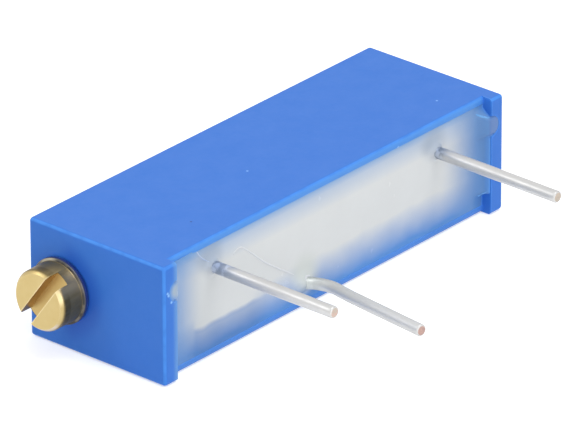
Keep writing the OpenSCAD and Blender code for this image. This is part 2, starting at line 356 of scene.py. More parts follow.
class Sheet:
    """Adds and joins the nodes of one node tree."""

    def __init__(self, tree: bpy.types.NodeTree) -> None:
        """Keeps the tree."""
        self.tree = tree

    def add(self, kind: str, plugs: dict[str | int, Plug] | None = None,
            **settings: object) -> bpy.types.Node:
        """Adds a node.

        Args:
            kind: Node type without its leading ShaderNode.
            plugs: A constant or a socket for each input named.
            settings: Properties of the node.

        Returns:
            The node.
        """
        node = self.tree.nodes.new("ShaderNode" + kind)
        for key, value in settings.items():
            setattr(node, key, value)
        for key, value in (plugs or {}).items():
            self.plug(node.inputs[key], value)
        return node

    def plug(self, socket: bpy.types.NodeSocket, value: Plug) -> None:
        """Sets a constant on a socket or links another socket to it.

        Args:
            socket: The input.
            value: A number, a colour, a vector or an output socket.
        """
        if isinstance(value, bpy.types.NodeSocket):
            self.tree.links.new(value, socket)
        elif socket.type == "RGBA" and len(value) == 3:
            socket.default_value = (*value, 1.0)
        else:
            socket.default_value = value

    def maths(self, operation: str, first: Plug, second: Plug = 0.0,
              clamp: bool = False) -> bpy.types.NodeSocket:
        """Result of a Math node."""
        return self.add("Math", {0: first, 1: second}, operation=operation, use_clamp=clamp).outputs[0]

    def product(self, first: Plug, *others: Plug) -> Plug:
        """Product of masks or numbers."""
        return functools.reduce(functools.partial(self.maths, "MULTIPLY"), others, first)

    def fade(self, value: Plug, fade: Fade, origin: float = 0.0) -> bpy.types.NodeSocket:
        """Makes a mask of a value.

        Args:
            value: Place, distance or noise that the mask follows.
            fade: Where the mask changes and how.
            origin: Place that the fade's start and end are counted from.

        Returns:
            The mask, constant outside the fade.
        """
        plugs = {"Value": value, "From Min": origin + fade.start, "From Max": origin + fade.end,
                 "To Min": fade.first, "To Max": fade.last}
        return self.add("MapRange", plugs, interpolation_type=fade.kind).outputs["Result"]

    def mix(self, factor: Plug, first: Plug, second: Plug) -> bpy.types.NodeSocket:
        """Mixes two colours."""
        return self.add("Mix", {0: factor, 6: first, 7: second}, data_type="RGBA").outputs[2]

    def between(self, factor: Plug, first: Plug, second: Plug) -> bpy.types.NodeSocket:
        """Mixes two numbers."""
        return self.add("Mix", {0: factor, 2: first, 3: second}, data_type="FLOAT").outputs[0]

    def point(self) -> bpy.types.NodeSocket:
        """Place on the object, in millimetres."""
        place = self.add("TexCoord").outputs["Object"]
        return self.add("VectorMath", {0: place, "Scale": 1 / MM}, operation="SCALE").outputs[0]

    def normal(self) -> bpy.types.NodeSocket:
        """Direction that the surface faces."""
        return self.add("NewGeometry").outputs["Normal"]

    def parts(self, vector: Plug) -> tuple[bpy.types.NodeSocket, ...]:
        """The three parts of a vector."""
        return tuple(self.add("SeparateXYZ", {0: vector}).outputs)

    def cloud(self, vector: Plug, scale: Plug, detail: float = 2.0) -> bpy.types.NodeSocket:
        """Noise from 0 to 1."""
        return self.add("TexNoise", {"Vector": vector, "Scale": scale, "Detail": detail}).outputs[0]

    def stretched(self, vector: Plug, stretch: Plug) -> bpy.types.NodeSocket:
        """The vector times another, part by part."""
        return self.add("VectorMath", {0: vector, 1: stretch}, operation="MULTIPLY").outputs[0]

    def away(self, parts: Sequence[Plug], centre: Sequence[float]) -> bpy.types.NodeSocket:
        """Distance from a centre.

        Args:
            parts: Two or three parts of the place, each a socket.
            centre: The same parts of the centre.

        Returns:
            The distance in the plane or the space of those parts.
        """
        offsets = {i: self.maths("SUBTRACT", *pair) for i, pair in enumerate(zip(parts, centre))}
        flat = self.add("CombineXYZ", offsets).outputs[0]
        return self.add("VectorMath", {0: flat}, operation="LENGTH").outputs["Value"]

    def round_mask(self, parts: Sequence[Plug], centre: Sequence[float], radius: float, core: float,
                   share: float = 1.0) -> bpy.types.NodeSocket:
        """Soft round mask, full within the core's share of its radius."""
        return self.fade(self.away(parts, centre), Fade(radius, radius * core, share))


class Effect:
    """A shader node group with named inputs and outputs, built once and placed in many materials."""

    name = ""
    takes: tuple[tuple[str, str, object], ...] = ()
    gives: tuple[tuple[str, str], ...] = ()

    def fill(self, sheet: Sheet, given: dict[str, bpy.types.NodeSocket]) -> dict[str, bpy.types.NodeSocket]:
        """Builds the inside of the group on a sheet and gives a socket for each output."""
        raise NotImplementedError(f"{self.name} has no nodes")

    def tree(self) -> bpy.types.NodeTree:
        """Finds the group's tree, and builds it on first use.

        Returns:
            The tree.
        """
        if self.name in bpy.data.node_groups:
            return bpy.data.node_groups[self.name]
        tree = bpy.data.node_groups.new(self.name, "ShaderNodeTree")
        for name, kind, default in self.takes:
            socket = tree.interface.new_socket(name=name, in_out="INPUT", socket_type="NodeSocket" + kind)
            socket.default_value = default
        for name, kind in self.gives:
            tree.interface.new_socket(name=name, in_out="OUTPUT", socket_type="NodeSocket" + kind)
        source = tree.nodes.new("NodeGroupInput")
        sink = tree.nodes.new("NodeGroupOutput")
        made = self.fill(Sheet(tree), {name: source.outputs[name] for name, _, _ in self.takes})
        for name, socket in made.items():
            tree.links.new(socket, sink.inputs[name])
        return tree

    def place(self, sheet: Sheet, plugs: dict[str, Plug]) -> bpy.types.NodeOutputs:
        """Puts the group in a material.

        Args:
            sheet: The material's tree.
            plugs: Its own values for the group's inputs.

        Returns:
            The group's outputs.
        """
        node = sheet.add("Group", node_tree=self.tree())
        for key, value in plugs.items():
            sheet.plug(node.inputs[key], value)
        return node.outputs


class Mottle(Effect):
    """Uneven colour and gloss, in patches or drawn lines."""

    name = "mottle"
    takes = (("Colour", "Color", (0.5, 0.5, 0.5, 1)), ("Second colour", "Color", (0.4, 0.4, 0.4, 1)),
             ("Scale", "Float", 1.0), ("Stretch", "Vector", (1, 1, 1)), ("Contrast", "Float", 0.5))
    gives = (("Colour", "Color"), ("Mask", "Float"))
    finer = 5.3
    fine_share = 0.35

    def fill(self, sheet: Sheet, given: dict[str, bpy.types.NodeSocket]) -> dict[str, bpy.types.NodeSocket]:
        """Mixes the colours by two sizes of stretched noise.

        Args:
            sheet: The group's tree.
            given: Sockets of the group's inputs by name.

        Returns:
            The mixed colour and the mask that mixed it.
        """
        spot = sheet.stretched(sheet.point(), given["Stretch"])
        broad = sheet.cloud(spot, given["Scale"], 3.0)
        fine = sheet.cloud(spot, sheet.product(given["Scale"], self.finer), 2.0)
        both = sheet.maths("SUBTRACT", sheet.between(self.fine_share, broad, fine), 0.5)
        mask = sheet.maths("ADD", sheet.product(both, given["Contrast"]), 0.5, True)
        return {"Colour": sheet.mix(mask, given["Colour"], given["Second colour"]), "Mask": mask}


class Grain(Effect):
    """Fine relief of a moulded, cast, fired or drawn surface."""

    name = "grain"
    takes = (("Scale", "Float", 8.0), ("Stretch", "Vector", (1, 1, 1)), ("Coarse share", "Float", 0.5))
    gives = (("Height", "Float"),)
    finer = 6.0

    def fill(self, sheet: Sheet, given: dict[str, bpy.types.NodeSocket]) -> dict[str, bpy.types.NodeSocket]:
        """Blends coarse and fine noise into one height.

        Args:
            sheet: The group's tree.
            given: Sockets of the group's inputs by name.

        Returns:
            The height.
        """
        spot = sheet.stretched(sheet.point(), given["Stretch"])
        coarse = sheet.cloud(spot, given["Scale"], 1.0)
        fine = sheet.cloud(spot, sheet.product(given["Scale"], self.finer), 3.0)
        return {"Height": sheet.between(given["Coarse share"], fine, coarse)}


class Flecks(Effect):
    """Scattered small dots, such as dust, pits or filler."""

    name = "flecks"
    takes = (("Spacing scale", "Float", 1.0), ("Size", "Float", 0.1), ("Share", "Float", 0.3))
    gives = (("Mask", "Float"),)
    crispness = 3.0

    def fill(self, sheet: Sheet, given: dict[str, bpy.types.NodeSocket]) -> dict[str, bpy.types.NodeSocket]:
        """Keeps a share of the cells of a scattered pattern and puts a dot in each.

        Args:
            sheet: The group's tree.
            given: Sockets of the group's inputs by name.

        Returns:
            The mask of the dots.
        """
        cells = sheet.add("TexVoronoi", {"Vector": sheet.point(), "Scale": given["Spacing scale"]})
        out = sheet.maths("DIVIDE", cells.outputs["Distance"], given["Size"])
        dot = sheet.maths("MULTIPLY", sheet.maths("SUBTRACT", 1.0, out, True), self.crispness, True)
        kept = sheet.maths("LESS_THAN", sheet.parts(cells.outputs["Color"])[0], given["Share"])
        return {"Mask": sheet.product(dot, kept)}


class EdgeLight(Effect):
    """Mask of the outer edges, where a painted highlight goes on."""

    name = "edge_light"
    takes = (("Strength", "Float", 1.0), ("Break-up scale", "Float", 3.0), ("Width", "Float", 0.1 * MM))
    gives = (("Mask", "Float"),)
    turn = Fade(0.99, 0.85)
    break_up = Fade(0.3, 0.7, first=0.55)

    def fill(self, sheet: Sheet, given: dict[str, bpy.types.NodeSocket]) -> dict[str, bpy.types.NodeSocket]:
        """Compares the true normal with one rounded over the edges.

        Args:
            sheet: The group's tree.
            given: Sockets of the group's inputs by name.

        Returns:
            The mask.
        """
        rounded = sheet.add("Bevel", {"Radius": given["Width"]}, samples=6).outputs[0]
        both = {0: rounded, 1: sheet.normal()}
        same = sheet.add("VectorMath", both, operation="DOT_PRODUCT").outputs["Value"]
        patchy = sheet.fade(sheet.cloud(sheet.point(), given["Break-up scale"]), self.break_up)
        edge = sheet.product(sheet.fade(same, self.turn), patchy)
        return {"Mask": sheet.maths("MULTIPLY", edge, given["Strength"], True)}


# ---------------------------------------------------------------- finishes


@dataclass(frozen=True)
class Finish:
    """A plain surface: two colours in patches, a fine grain, and a painted highlight of another colour
    along its edges.
    """

    name: str
    colour: Colour
    second: Colour
    # edge: colour of the painted highlight along the edges
    edge: Colour
    roughness: tuple[float, float]
    metallic: float = 0.0
    specular: float = 0.5
    patch_scale: float = 1.2
    contrast: float = 1.2
    stretch: Colour = (1.0, 1.0, 1.0)
    grain_scale: float = 9.0
    coarse_share: float = 0.4
    relief: float = 0.002
    edge_strength: float = 0.6
    edge_width: float = 0.1
    fleck: Colour = (0.9, 0.9, 0.9)
    fleck_share: float = 0.0
    fleck_size: float = 0.12
    fleck_scale: float = 1.1

    def washes(self, sheet: Sheet) -> list[Wash]:
        """Washes of colour that go over the rest, in order; a plain finish has none."""
        return []

    def build(self) -> bpy.types.Material:
        """Makes the material on first use.

        Returns:
            The material.
        """
        if self.name in bpy.data.materials:
            return bpy.data.materials[self.name]
        material = bpy.data.materials.new(self.name)
        material.use_nodes = True
        material.node_tree.nodes.clear()
        sheet = Sheet(material.node_tree)
        patches = Mottle().place(sheet, {"Colour": self.colour, "Second colour": self.second,
                                         "Scale": self.patch_scale, "Stretch": self.stretch,
                                         "Contrast": self.contrast})
        # Painted highlight: the edge colour goes on along the rounded edges.
        edges = EdgeLight().place(sheet, {"Strength": self.edge_strength,
                                          "Width": self.edge_width * MM})["Mask"]
        colour = sheet.mix(edges, patches["Colour"], self.edge)
        if self.fleck_share:
            dots = Flecks().place(sheet, {"Spacing scale": self.fleck_scale, "Size": self.fleck_size,
                                          "Share": self.fleck_share})["Mask"]
            colour = sheet.mix(dots, colour, self.fleck)
        for mask, paint in self.washes(sheet):
            colour = sheet.mix(mask, colour, paint)
        height = Grain().place(sheet, {"Scale": self.grain_scale, "Stretch": self.stretch,
                                       "Coarse share": self.coarse_share})["Height"]
        relief = sheet.add("Bump", {"Height": height, "Distance": self.relief * MM, "Strength": 1.0})
        rough = sheet.between(patches["Mask"], *self.roughness)
        shader = sheet.add("BsdfPrincipled", {
            "Base Color": colour, "Roughness": rough, "Metallic": self.metallic,
            "Specular IOR Level": self.specular, "Normal": relief.outputs[0]})
        sink = sheet.add("OutputMaterial", {"Surface": shader.outputs[0]})
        sink.is_active_output = True
        return material


def record_finish(slot: Slot) -> bpy.types.Material:
    """The record's own plain finish of a slot."""
    return bpy.data.materials[slot.value]


@dataclass(frozen=True)
class Nick:
    """Small round mark: its place, its radius and its colour."""

    place: tuple[float, float, float]
    radius: float
    paint: Colour = (0.26, 0.52, 0.95)


@dataclass(frozen=True)
class MouldedBlue(Finish):
    """Moulded plastic with painted highlights along its rounded edges, its rims and the near ridge's inner
    edge, painted shade beside the head, and a few nicks and specks.
    """

    rim_y: float = 0.0
    rim_x: float = 0.0
    head: tuple[float, float] = (0.0, 0.0)
    flange_r: float = 0.0
    # Colour of the painted highlight on the rounded edges, broken up in patches.
    bright: Colour = (0.076, 0.305, 0.895)
    rounding: Fade = Fade(0.999, 0.86, 0.9)
    highlight_breakup_scale: float = 1.7
    highlight_breakup: Fade = Fade(0.3, 0.62, first=0.45)
    # Painted shade on the end face round the flange.
    head_shade: Colour = (0.029, 0.145, 0.640)
    shade_reach: Fade = Fade(0.9, 0.15)
    shade_side: Fade = Fade(0.3, -0.5)
    end_face: Fade = Fade(-8.5, -9.0)
    rim_back: Fade = Fade(0.07, 0.01)
    rim_front: Fade = Fade(-0.2, -0.1)
    rim_length: Fade = Fade(0.025, -0.125)
    # Painted highlights along the upper and lower long rims.
    rims: tuple[tuple[Fade, Colour], ...] = (
        (Fade(4.25, 4.35, 0.8), (0.096, 0.322, 0.810)), (Fade(0.50, 0.40, 0.8), (0.085, 0.270, 0.740)))
    # Painted highlight along the near ridge's inner edge.
    ridge_highlight: Colour = (0.150, 0.350, 0.720)
    ridge_height: Fade = Fade(-0.2, -0.35)
    ridge_inside: Fade = Fade(-0.30, -0.02, 0.8)
    near_end: Fade = Fade(1.0, 0.5)
    nicks: tuple[Nick, ...] = ()
    nick_core: float = 0.4

    def washes(self, sheet: Sheet) -> list[Wash]:
        """Painted highlights on the rounded edges and the rims, painted shade beside the head, a painted
        highlight on the near ridge, and the nicks.

        Args:
            sheet: The material's tree.

        Returns:
            Mask and colour of each wash, in the order that they go on.
        """
        x, y, z = sheet.parts(sheet.point())
        faced = [sheet.maths("ABSOLUTE", part) for part in sheet.parts(sheet.normal())]
        flat = functools.reduce(functools.partial(sheet.maths, "MAXIMUM"), faced)
        # Painted highlight on the rounded edges, broken up in patches.
        highlight_breakup = sheet.fade(sheet.cloud(sheet.point(), self.highlight_breakup_scale, 3.0), self.highlight_breakup)
        rounded = sheet.product(sheet.fade(flat, self.rounding), highlight_breakup)
        # Painted shade on the end face beside the flange.
        by_head = sheet.product(
            sheet.fade(sheet.away((y, z), self.head), self.shade_reach, self.flange_r),
            sheet.fade(y, self.shade_side, self.head[0]), sheet.fade(x, self.end_face))
        # Painted highlights on the long rims.
        on_rim = sheet.product(
            sheet.fade(y, self.rim_back, self.rim_y), sheet.fade(y, self.rim_front, self.rim_y),
            sheet.fade(sheet.maths("ABSOLUTE", x), self.rim_length, self.rim_x))
        rims = [(sheet.product(on_rim, sheet.fade(z, across)), paint) for across, paint in self.rims]
        # Painted highlight along the near ridge's inner edge.
        ridge_highlight_mask = sheet.product(
            sheet.fade(y, self.ridge_height, self.rim_y), sheet.fade(x, self.ridge_inside, -self.rim_x),
            sheet.fade(x, self.near_end, -self.rim_x))
        nicks = [(sheet.round_mask((x, y, z), nick.place, nick.radius, self.nick_core), nick.paint)
                 for nick in self.nicks]
        return [(rounded, self.bright), (by_head, self.head_shade), *rims, (ridge_highlight_mask, self.ridge_highlight), *nicks]


@dataclass(frozen=True)
class TurnedBrass(Finish):
    """Turned brass: bright where the tool faced it, dull and dark round the head, with painted shade in the
    slot and on the flange's front, and painted highlights and reflections on the head and the flange.

    Fades along the screw are counted from its face or from the start of the flange, and fades across
    it from the head's radius.
    """

    axis: tuple[float, float] = (0.0, 0.0)
    head_r: float = 0.0
    face_x: float = 0.0
    flange_x: float = 0.0
    dull_front: Colour = (0.160, 0.116, 0.048)
    dull_back: Colour = (0.230, 0.175, 0.084)
    dull_band: Fade = Fade(0.40, 0.50)
    dull_streak: Colour = (0.29, 0.23, 0.115)
    streak_stretch: Colour = (0.9, 3.5, 3.5)
    streaks: Fade = Fade(0.42, 0.75, 0.8)
    # Painted highlight: a lit band on part of the head's side.
    side_lit: Colour = (0.42, 0.33, 0.19)
    side_arc: tuple[float, float] = (128.0, 152.0)
    side_share: float = 0.7
    # Painted shade: darker, browner brass on the slot's walls and floor.
    slot_wall: Colour = (0.50, 0.285, 0.075)
    slot_floor: Colour = (0.52, 0.375, 0.145)
    slot_depth: Fade = Fade(0.15, 0.35)
    within: Fade = Fade(0.01, 0.0)
    outside: Fade = Fade(-0.1, -0.02)
    # Flange's front: tarnish and a painted shadow of the head; flange_lit is painted light on the arc the
    # head leaves lit; flange_back is a painted reflection of the blue housing.
    flange_front: Colour = (0.058, 0.056, 0.053)
    flange_streak: Colour = (0.155, 0.138, 0.112)
    flange_lit: Colour = (0.40, 0.36, 0.27)
    flange_edge: Colour = (0.150, 0.145, 0.160)
    flange_back: Colour = (0.110, 0.185, 0.47)
    flange_rim: Fade = Fade(0.03, 0.19)
    before_flange: Fade = Fade(-0.02, 0.0)
    past_flange: Fade = Fade(0.24, 0.20)
    flange_r: Fade = Fade(-0.03, -0.01)
    behind_front: Fade = Fade(0.50, 0.52)
    patch: Fade = Fade(0.52, 0.70)
    patch_size: float = 2.4
    bright_arc: tuple[float, float] = (55.0, 80.0)
    streak_arc: tuple[float, float] = (140.0, 160.0)
    # Painted highlight on the head's rounded rim, and a pale painted reflection of the floor on its lower
    # rim.
    glint: Colour = (0.95, 0.79, 0.44)
    glint_arc: tuple[float, float] = (138.0, 165.0)
    pale: Colour = (0.66, 0.57, 0.43)
    pale_arc: tuple[float, float] = (-140.0, -60.0)
    slant: tuple[Fade, Fade] = (Fade(0.98, 0.90), Fade(0.20, 0.45))
    by_face: Fade = Fade(0.20, 0.15)
    sideways: Fade = Fade(0.75, 0.35)
    arc_ends: tuple[float, float] = (0.2, 0.1)

    def in_arc(self, sheet: Sheet, turned_to: Plug, arc: tuple[float, float]) -> Plug:
        """Soft mask of a range of angles round the axis.

        Args:
            sheet: The material's tree.
            turned_to: Angle of the place round the axis, in radians.
            arc: First and last angle, in degrees.

        Returns:
            The mask.
        """
        first, last = (math.radians(angle) for angle in arc)
        out, into = self.arc_ends
        return sheet.product(sheet.fade(turned_to, Fade(-out, into), first),
                             sheet.fade(turned_to, Fade(out, -into), last))

    def side(self, sheet: Sheet, x: Plug, radius: Plug, turned_to: Plug) -> bpy.types.NodeSocket:
        """Colour of what faces sideways: the head's dull side with a painted highlight band, the flange's
        rim turning to a painted reflection of the blue housing, and the slot's walls in painted shade.

        Args:
            sheet: The material's tree.
            x: Place along the screw.
            radius: Distance from its axis.
            turned_to: Angle round the axis.

        Returns:
            The colour.
        """
        dull = sheet.mix(sheet.fade(x, self.dull_band, self.face_x), self.dull_front, self.dull_back)
        streaks = sheet.cloud(sheet.stretched(sheet.point(), self.streak_stretch), 1.0, 4.0)
        dull = sheet.mix(sheet.fade(streaks, self.streaks), dull, self.dull_streak)
        # Painted highlight band on the head's side.
        lit = sheet.product(self.in_arc(sheet, turned_to, self.side_arc), self.side_share)
        dull = sheet.mix(lit, dull, self.side_lit)
        # The flange's rim turns to a painted reflection of the blue housing toward its back.
        rim = sheet.mix(sheet.fade(x, self.flange_rim, self.flange_x), self.flange_edge, self.flange_back)
        outer = sheet.mix(sheet.fade(x, self.before_flange, self.flange_x), dull, rim)
        # Inside the head's radius: the slot's walls in painted shade.
        return sheet.mix(sheet.fade(radius, self.outside, self.head_r), self.slot_wall, outer)

    def front(self, sheet: Sheet, turned_to: Plug) -> bpy.types.NodeSocket:
        """Colour of the flange's front: dark from tarnish and a painted shadow of the head, patchy, and
        painted light on one side.

        Args:
            sheet: The material's tree.
            turned_to: Angle round the axis.

        Returns:
            The colour.
        """
        patches = sheet.fade(sheet.cloud(sheet.point(), self.patch_size, 3.0), self.patch)
        patches = sheet.maths("MAXIMUM", patches, self.in_arc(sheet, turned_to, self.streak_arc))
        dark = sheet.mix(patches, self.flange_front, self.flange_streak)
        # Painted light on the arc that the head doesn't shade.
        return sheet.mix(self.in_arc(sheet, turned_to, self.bright_arc), dark, self.flange_lit)

    def washes(self, sheet: Sheet) -> list[Wash]:
        """The slot's floor in painted shade, the flange's front with its painted shadow and light, the
        head's rim with a painted highlight and a painted reflection of the floor, and all that faces
        sideways.

        Args:
            sheet: The material's tree.

        Returns:
            Mask and colour of each wash, in the order that they go on.
        """
        x, y, z = sheet.parts(sheet.point())
        radius = sheet.away((y, z), self.axis)
        off = [sheet.maths("SUBTRACT", part, centre) for part, centre in zip((y, z), self.axis)]
        turned_to = sheet.maths("ARCTAN2", off[1], off[0])
        facing = sheet.maths("ABSOLUTE", sheet.parts(sheet.normal())[0])
        # The slot's floor in painted shade.
        in_slot = sheet.product(sheet.fade(x, self.slot_depth, self.face_x),
                                sheet.fade(radius, self.within, self.head_r))
        on_flange = sheet.product(sheet.fade(radius, self.flange_r, self.head_r),
                                  sheet.fade(x, self.behind_front, self.face_x))
        slanted = sheet.product(*(sheet.fade(facing, fade) for fade in self.slant),
                                sheet.fade(x, self.by_face, self.face_x))
        # Painted highlight and painted floor reflection on the head's rim.
        glints = [(sheet.product(slanted, self.in_arc(sheet, turned_to, arc)), paint)
                  for arc, paint in ((self.glint_arc, self.glint), (self.pale_arc, self.pale))]
        beside = sheet.product(sheet.fade(facing, self.sideways),
                               sheet.fade(x, self.past_flange, self.flange_x))
        return [(in_slot, self.slot_floor), (on_flange, self.front(sheet, turned_to)), *glints,
                (beside, self.side(sheet, x, radius, turned_to))]


@dataclass(frozen=True)
class Pool:
    """Round pool of colour in the resin: its middle along and across, its radius, share and colour."""

    x: float
    z: float
    radius: float
    share: float
    paint: Colour


@dataclass(frozen=True)
class CastResin(Finish):
    """Milky resin: pale over the ceramic plate, and the housing's colour near the walls around it, with
    painted shade round the wires' feet and a painted highlight along the far ridge's lip.

    Fades across are counted from the lower side or the upper rim, and fades along from the recess's
    ends, the plate's start or the middle.
    """

    half: float = 0.0
    top_z: float = 0.0
    plate_x: float = 0.0
    notch_z: float = 0.0
    pools: tuple[Pool, ...] = ()
    pool_core: float = 0.2
    wander: tuple[float, float] = (0.9, 0.35)
    grey: Colour = (0.43, 0.465, 0.48)
    grey_end: Fade = Fade(1.9, -0.6, 0.38)
    # Blue under the top wall: partly the wall seen through thin resin, partly a painted reflection of the
    # wall and painted shade.
    top_blue: Colour = (0.140, 0.335, 0.670)
    top_fades: tuple[Fade, Fade] = (
        Fade(-0.95, -0.2, 0.42, kind="LINEAR"), Fade(-0.25, 0.08, 0.45, kind="LINEAR"))
    low_blue: Colour = (0.068, 0.252, 0.660)
    near_blue: Colour = (0.060, 0.202, 0.530)
    near_part: Fade = Fade(-3.0, -4.6)
    gentle: Fade = Fade(1.80, 0.42, kind="LINEAR")
    steep: tuple[Fade, Fade] = (Fade(1.43, 1.20, 0.60), Fade(1.30, 0.42, 1.0, 0.5, "LINEAR"))
    steep_edge: Fade = Fade(1.45, 1.25)
    past_plate: Fade = Fade(0.1, -0.2)
    past_share: float = 0.95
    far_blue: Colour = (0.110, 0.265, 0.570)
    far_part: Fade = Fade(-2.625, 0.0)
    wall_blue: Colour = (0.115, 0.295, 0.640)
    by_wall: Fade = Fade(1.925, -0.25)
    lip_blue: Colour = (0.098, 0.285, 0.690)
    on_lip: Fade = Fade(-0.14, -0.02)
    notch_blue: Colour = (0.110, 0.225, 0.520)
    notch_width: Fade = Fade(0.50, 0.25)
    notch_pale: Colour = (0.36, 0.46, 0.57)
    notch_round: Fade = Fade(0.42, 0.147)
    at_notch: Fade = Fade(0.12, -0.12)
    # Painted highlight along the far ridge's lip.
    lip_highlight: Colour = (0.125, 0.375, 0.880)
    line_along: Fade = Fade(-0.05, 0.01)
    line_across: Fade = Fade(-0.40, -0.55)

    def low_band(self, sheet: Sheet, x: Plug, along: Plug, z: Plug) -> Wash:
        """Blue along the lower rim: gentle over the far part, and steep beside the plate's near end.

        Args:
            sheet: The material's tree.
            x: Place along, which wanders.
            along: True place along.
            z: Place across, which wanders.

        Returns:
            Its mask and colour.
        """
        near = sheet.fade(x, self.near_part)
        gentle = sheet.fade(z, self.gentle)
        steep = sheet.product(sheet.maths("MAXIMUM", *(sheet.fade(z, fade) for fade in self.steep)),
                              sheet.fade(z, self.steep_edge))
        steep = sheet.between(sheet.fade(along, self.past_plate, self.plate_x), steep,
                              sheet.product(gentle, self.past_share))
        return sheet.between(near, gentle, steep), sheet.mix(near, self.low_blue, self.near_blue)

    def washes(self, sheet: Sheet) -> list[Wash]:
        """The housing's colour by the depth of resin near each wall, with a painted reflection of the top
        wall; the pools with their painted shade; the lips and the notches; and a painted highlight along
        the far lip.

        Args:
            sheet: The material's tree.

        Returns:
            Mask and colour of each wash, in the order that they go on.
        """
        spot = sheet.point()
        scale, reach = self.wander
        wander = sheet.product(sheet.maths("SUBTRACT", sheet.cloud(spot, scale, 1.0), 0.5), reach)
        along, _, across = sheet.parts(spot)
        x, z = (sheet.maths("ADD", part, wander) for part in (along, across))
        by_top = sheet.maths("ADD", *(sheet.fade(across, fade, self.top_z) for fade in self.top_fades))
        pools = [
            (sheet.round_mask((along, across), (pool.x, pool.z), pool.radius, self.pool_core, pool.share),
             pool.paint) for pool in self.pools]
        off_notch = sheet.maths("ABSOLUTE", sheet.maths("SUBTRACT", across, self.notch_z))
        far_notch = sheet.mix(sheet.fade(off_notch, self.notch_width), self.lip_blue, self.notch_blue)
        from_notch = sheet.away((along, across), (-self.half, self.notch_z))
        near_notch = sheet.mix(sheet.fade(from_notch, self.notch_round), self.lip_blue, self.notch_pale)
        # Painted highlight along the far ridge's lip, below its notch.
        line = sheet.product(sheet.fade(along, self.line_along, self.half),
                             sheet.fade(across, self.line_across, self.notch_z))
        return [(sheet.fade(x, self.grey_end, self.plate_x), self.grey), (by_top, self.top_blue),
                self.low_band(sheet, x, along, z), (sheet.fade(x, self.far_part, self.half), self.far_blue),
                (sheet.fade(along, self.by_wall, -self.half), self.wall_blue), *pools,
                (sheet.fade(along, self.on_lip, self.half), far_notch),
                (sheet.fade(along, self.at_notch, -self.half), near_notch), (line, self.lip_highlight)]


@dataclass(frozen=True)
class DrawnTin(Finish):
    """Drawn tin whose foot still wears a thin skin of resin, whose pale and dark patches are painted
    highlights and reflections.
    """

    skin: Fade = Fade(-3.6, -3.1, 0.85)
    # Pale and dark patches of the skin: painted highlights and reflections.
    skin_pale: Colour = (0.60, 0.66, 0.78)
    skin_dark: Colour = (0.20, 0.25, 0.33)
    patches: Fade = Fade(0.44, 0.60)
    patch_size: float = 3.2

    def washes(self, sheet: Sheet) -> list[Wash]:
        """The skin over the wire's foot, with painted highlights and reflections in its patches.

        Args:
            sheet: The material's tree.

        Returns:
            Its mask and colour.
        """
        patches = sheet.fade(sheet.cloud(sheet.point(), self.patch_size, 3.0), self.patches)
        colour = sheet.mix(patches, self.skin_dark, self.skin_pale)
        return [(sheet.fade(sheet.parts(sheet.point())[1], self.skin), colour)]


TIN = DrawnTin(
    "drawn_tin", (0.665, 0.66, 0.65), (0.565, 0.565, 0.565), (0.74, 0.74, 0.74),
    roughness=(0.36, 0.52), metallic=0.78, patch_scale=1.8, contrast=2.2, stretch=(1.0, 0.22, 1.0),
    grain_scale=3.2, coarse_share=0.7, relief=0.008, edge_strength=0.2)
# Longer skin on the first wire; its bluish patches are painted reflections of the blue housing and painted
# highlights.
LONG_SKIN_TIN = replace(TIN, name="drawn_tin_long_skin", skin=Fade(-4.25, -3.2, 0.85), skin_pale=(0.66, 0.73, 0.88),
                    skin_dark=(0.30, 0.36, 0.47))
# Skin darkened toward resin grey: painted shade over the middle wire's lit foot.
SUNK_TIN = replace(TIN, name="drawn_tin_sunk", colour=(0.70, 0.70, 0.69), second=(0.62, 0.62, 0.62),
                   metallic=0.60, roughness=(0.42, 0.56), skin=Fade(-3.9, -3.05, 0.85),
                   skin_pale=(0.57, 0.61, 0.60), skin_dark=(0.46, 0.50, 0.50))
CUT_COPPER = Finish(
    "cut_copper", (0.71, 0.45, 0.38), (0.55, 0.53, 0.46), (0.66, 0.56, 0.48),
    roughness=(0.42, 0.58), metallic=0.35, patch_scale=2.2, contrast=4.0, relief=0.006, edge_strength=0.2)
BROWN_COPPER = replace(CUT_COPPER, name="cut_copper_brown", colour=(0.64, 0.41, 0.34),
                       second=(0.48, 0.32, 0.29))
TARNISHED_COPPER = replace(CUT_COPPER, name="cut_copper_tarnished", colour=(0.64, 0.52, 0.42),
                           second=(0.54, 0.48, 0.41))
PALE_THREAD = Finish(
    "resin_thread", (0.71, 0.73, 0.76), (0.66, 0.69, 0.73), (0.9, 0.9, 0.9), roughness=(0.25, 0.35),
    patch_scale=2.0, grain_scale=6.0, edge_strength=0.0)
BLUISH_THREAD = replace(PALE_THREAD, name="resin_thread_bluish", colour=(0.46, 0.56, 0.74),
                        second=(0.40, 0.50, 0.70))
# Painted highlight: cyan strokes along the resin's edge at the far ridge.
GLINT_STROKE = replace(PALE_THREAD, name="resin_glint_stroke", colour=(0.155, 0.42, 0.80), second=(0.12, 0.36, 0.74))
STAMPED_STEEL = Finish(
    "stamped_steel", (0.60, 0.60, 0.59), (0.50, 0.50, 0.50), (0.80, 0.80, 0.79), roughness=(0.24, 0.36),
    metallic=1.0, patch_scale=1.4, stretch=(1.0, 0.3, 1.0), grain_scale=10.0, relief=0.003)
FIRED_CERAMIC = Finish(
    "fired_ceramic", (0.82, 0.82, 0.79), (0.77, 0.77, 0.74), (0.88, 0.88, 0.86), roughness=(0.50, 0.64),
    patch_scale=0.9, grain_scale=14.0, relief=0.004, fleck=(0.62, 0.61, 0.57), fleck_share=0.2,
    fleck_size=0.05, fleck_scale=2.0)


# ---------------------------------------------------------------- pieces


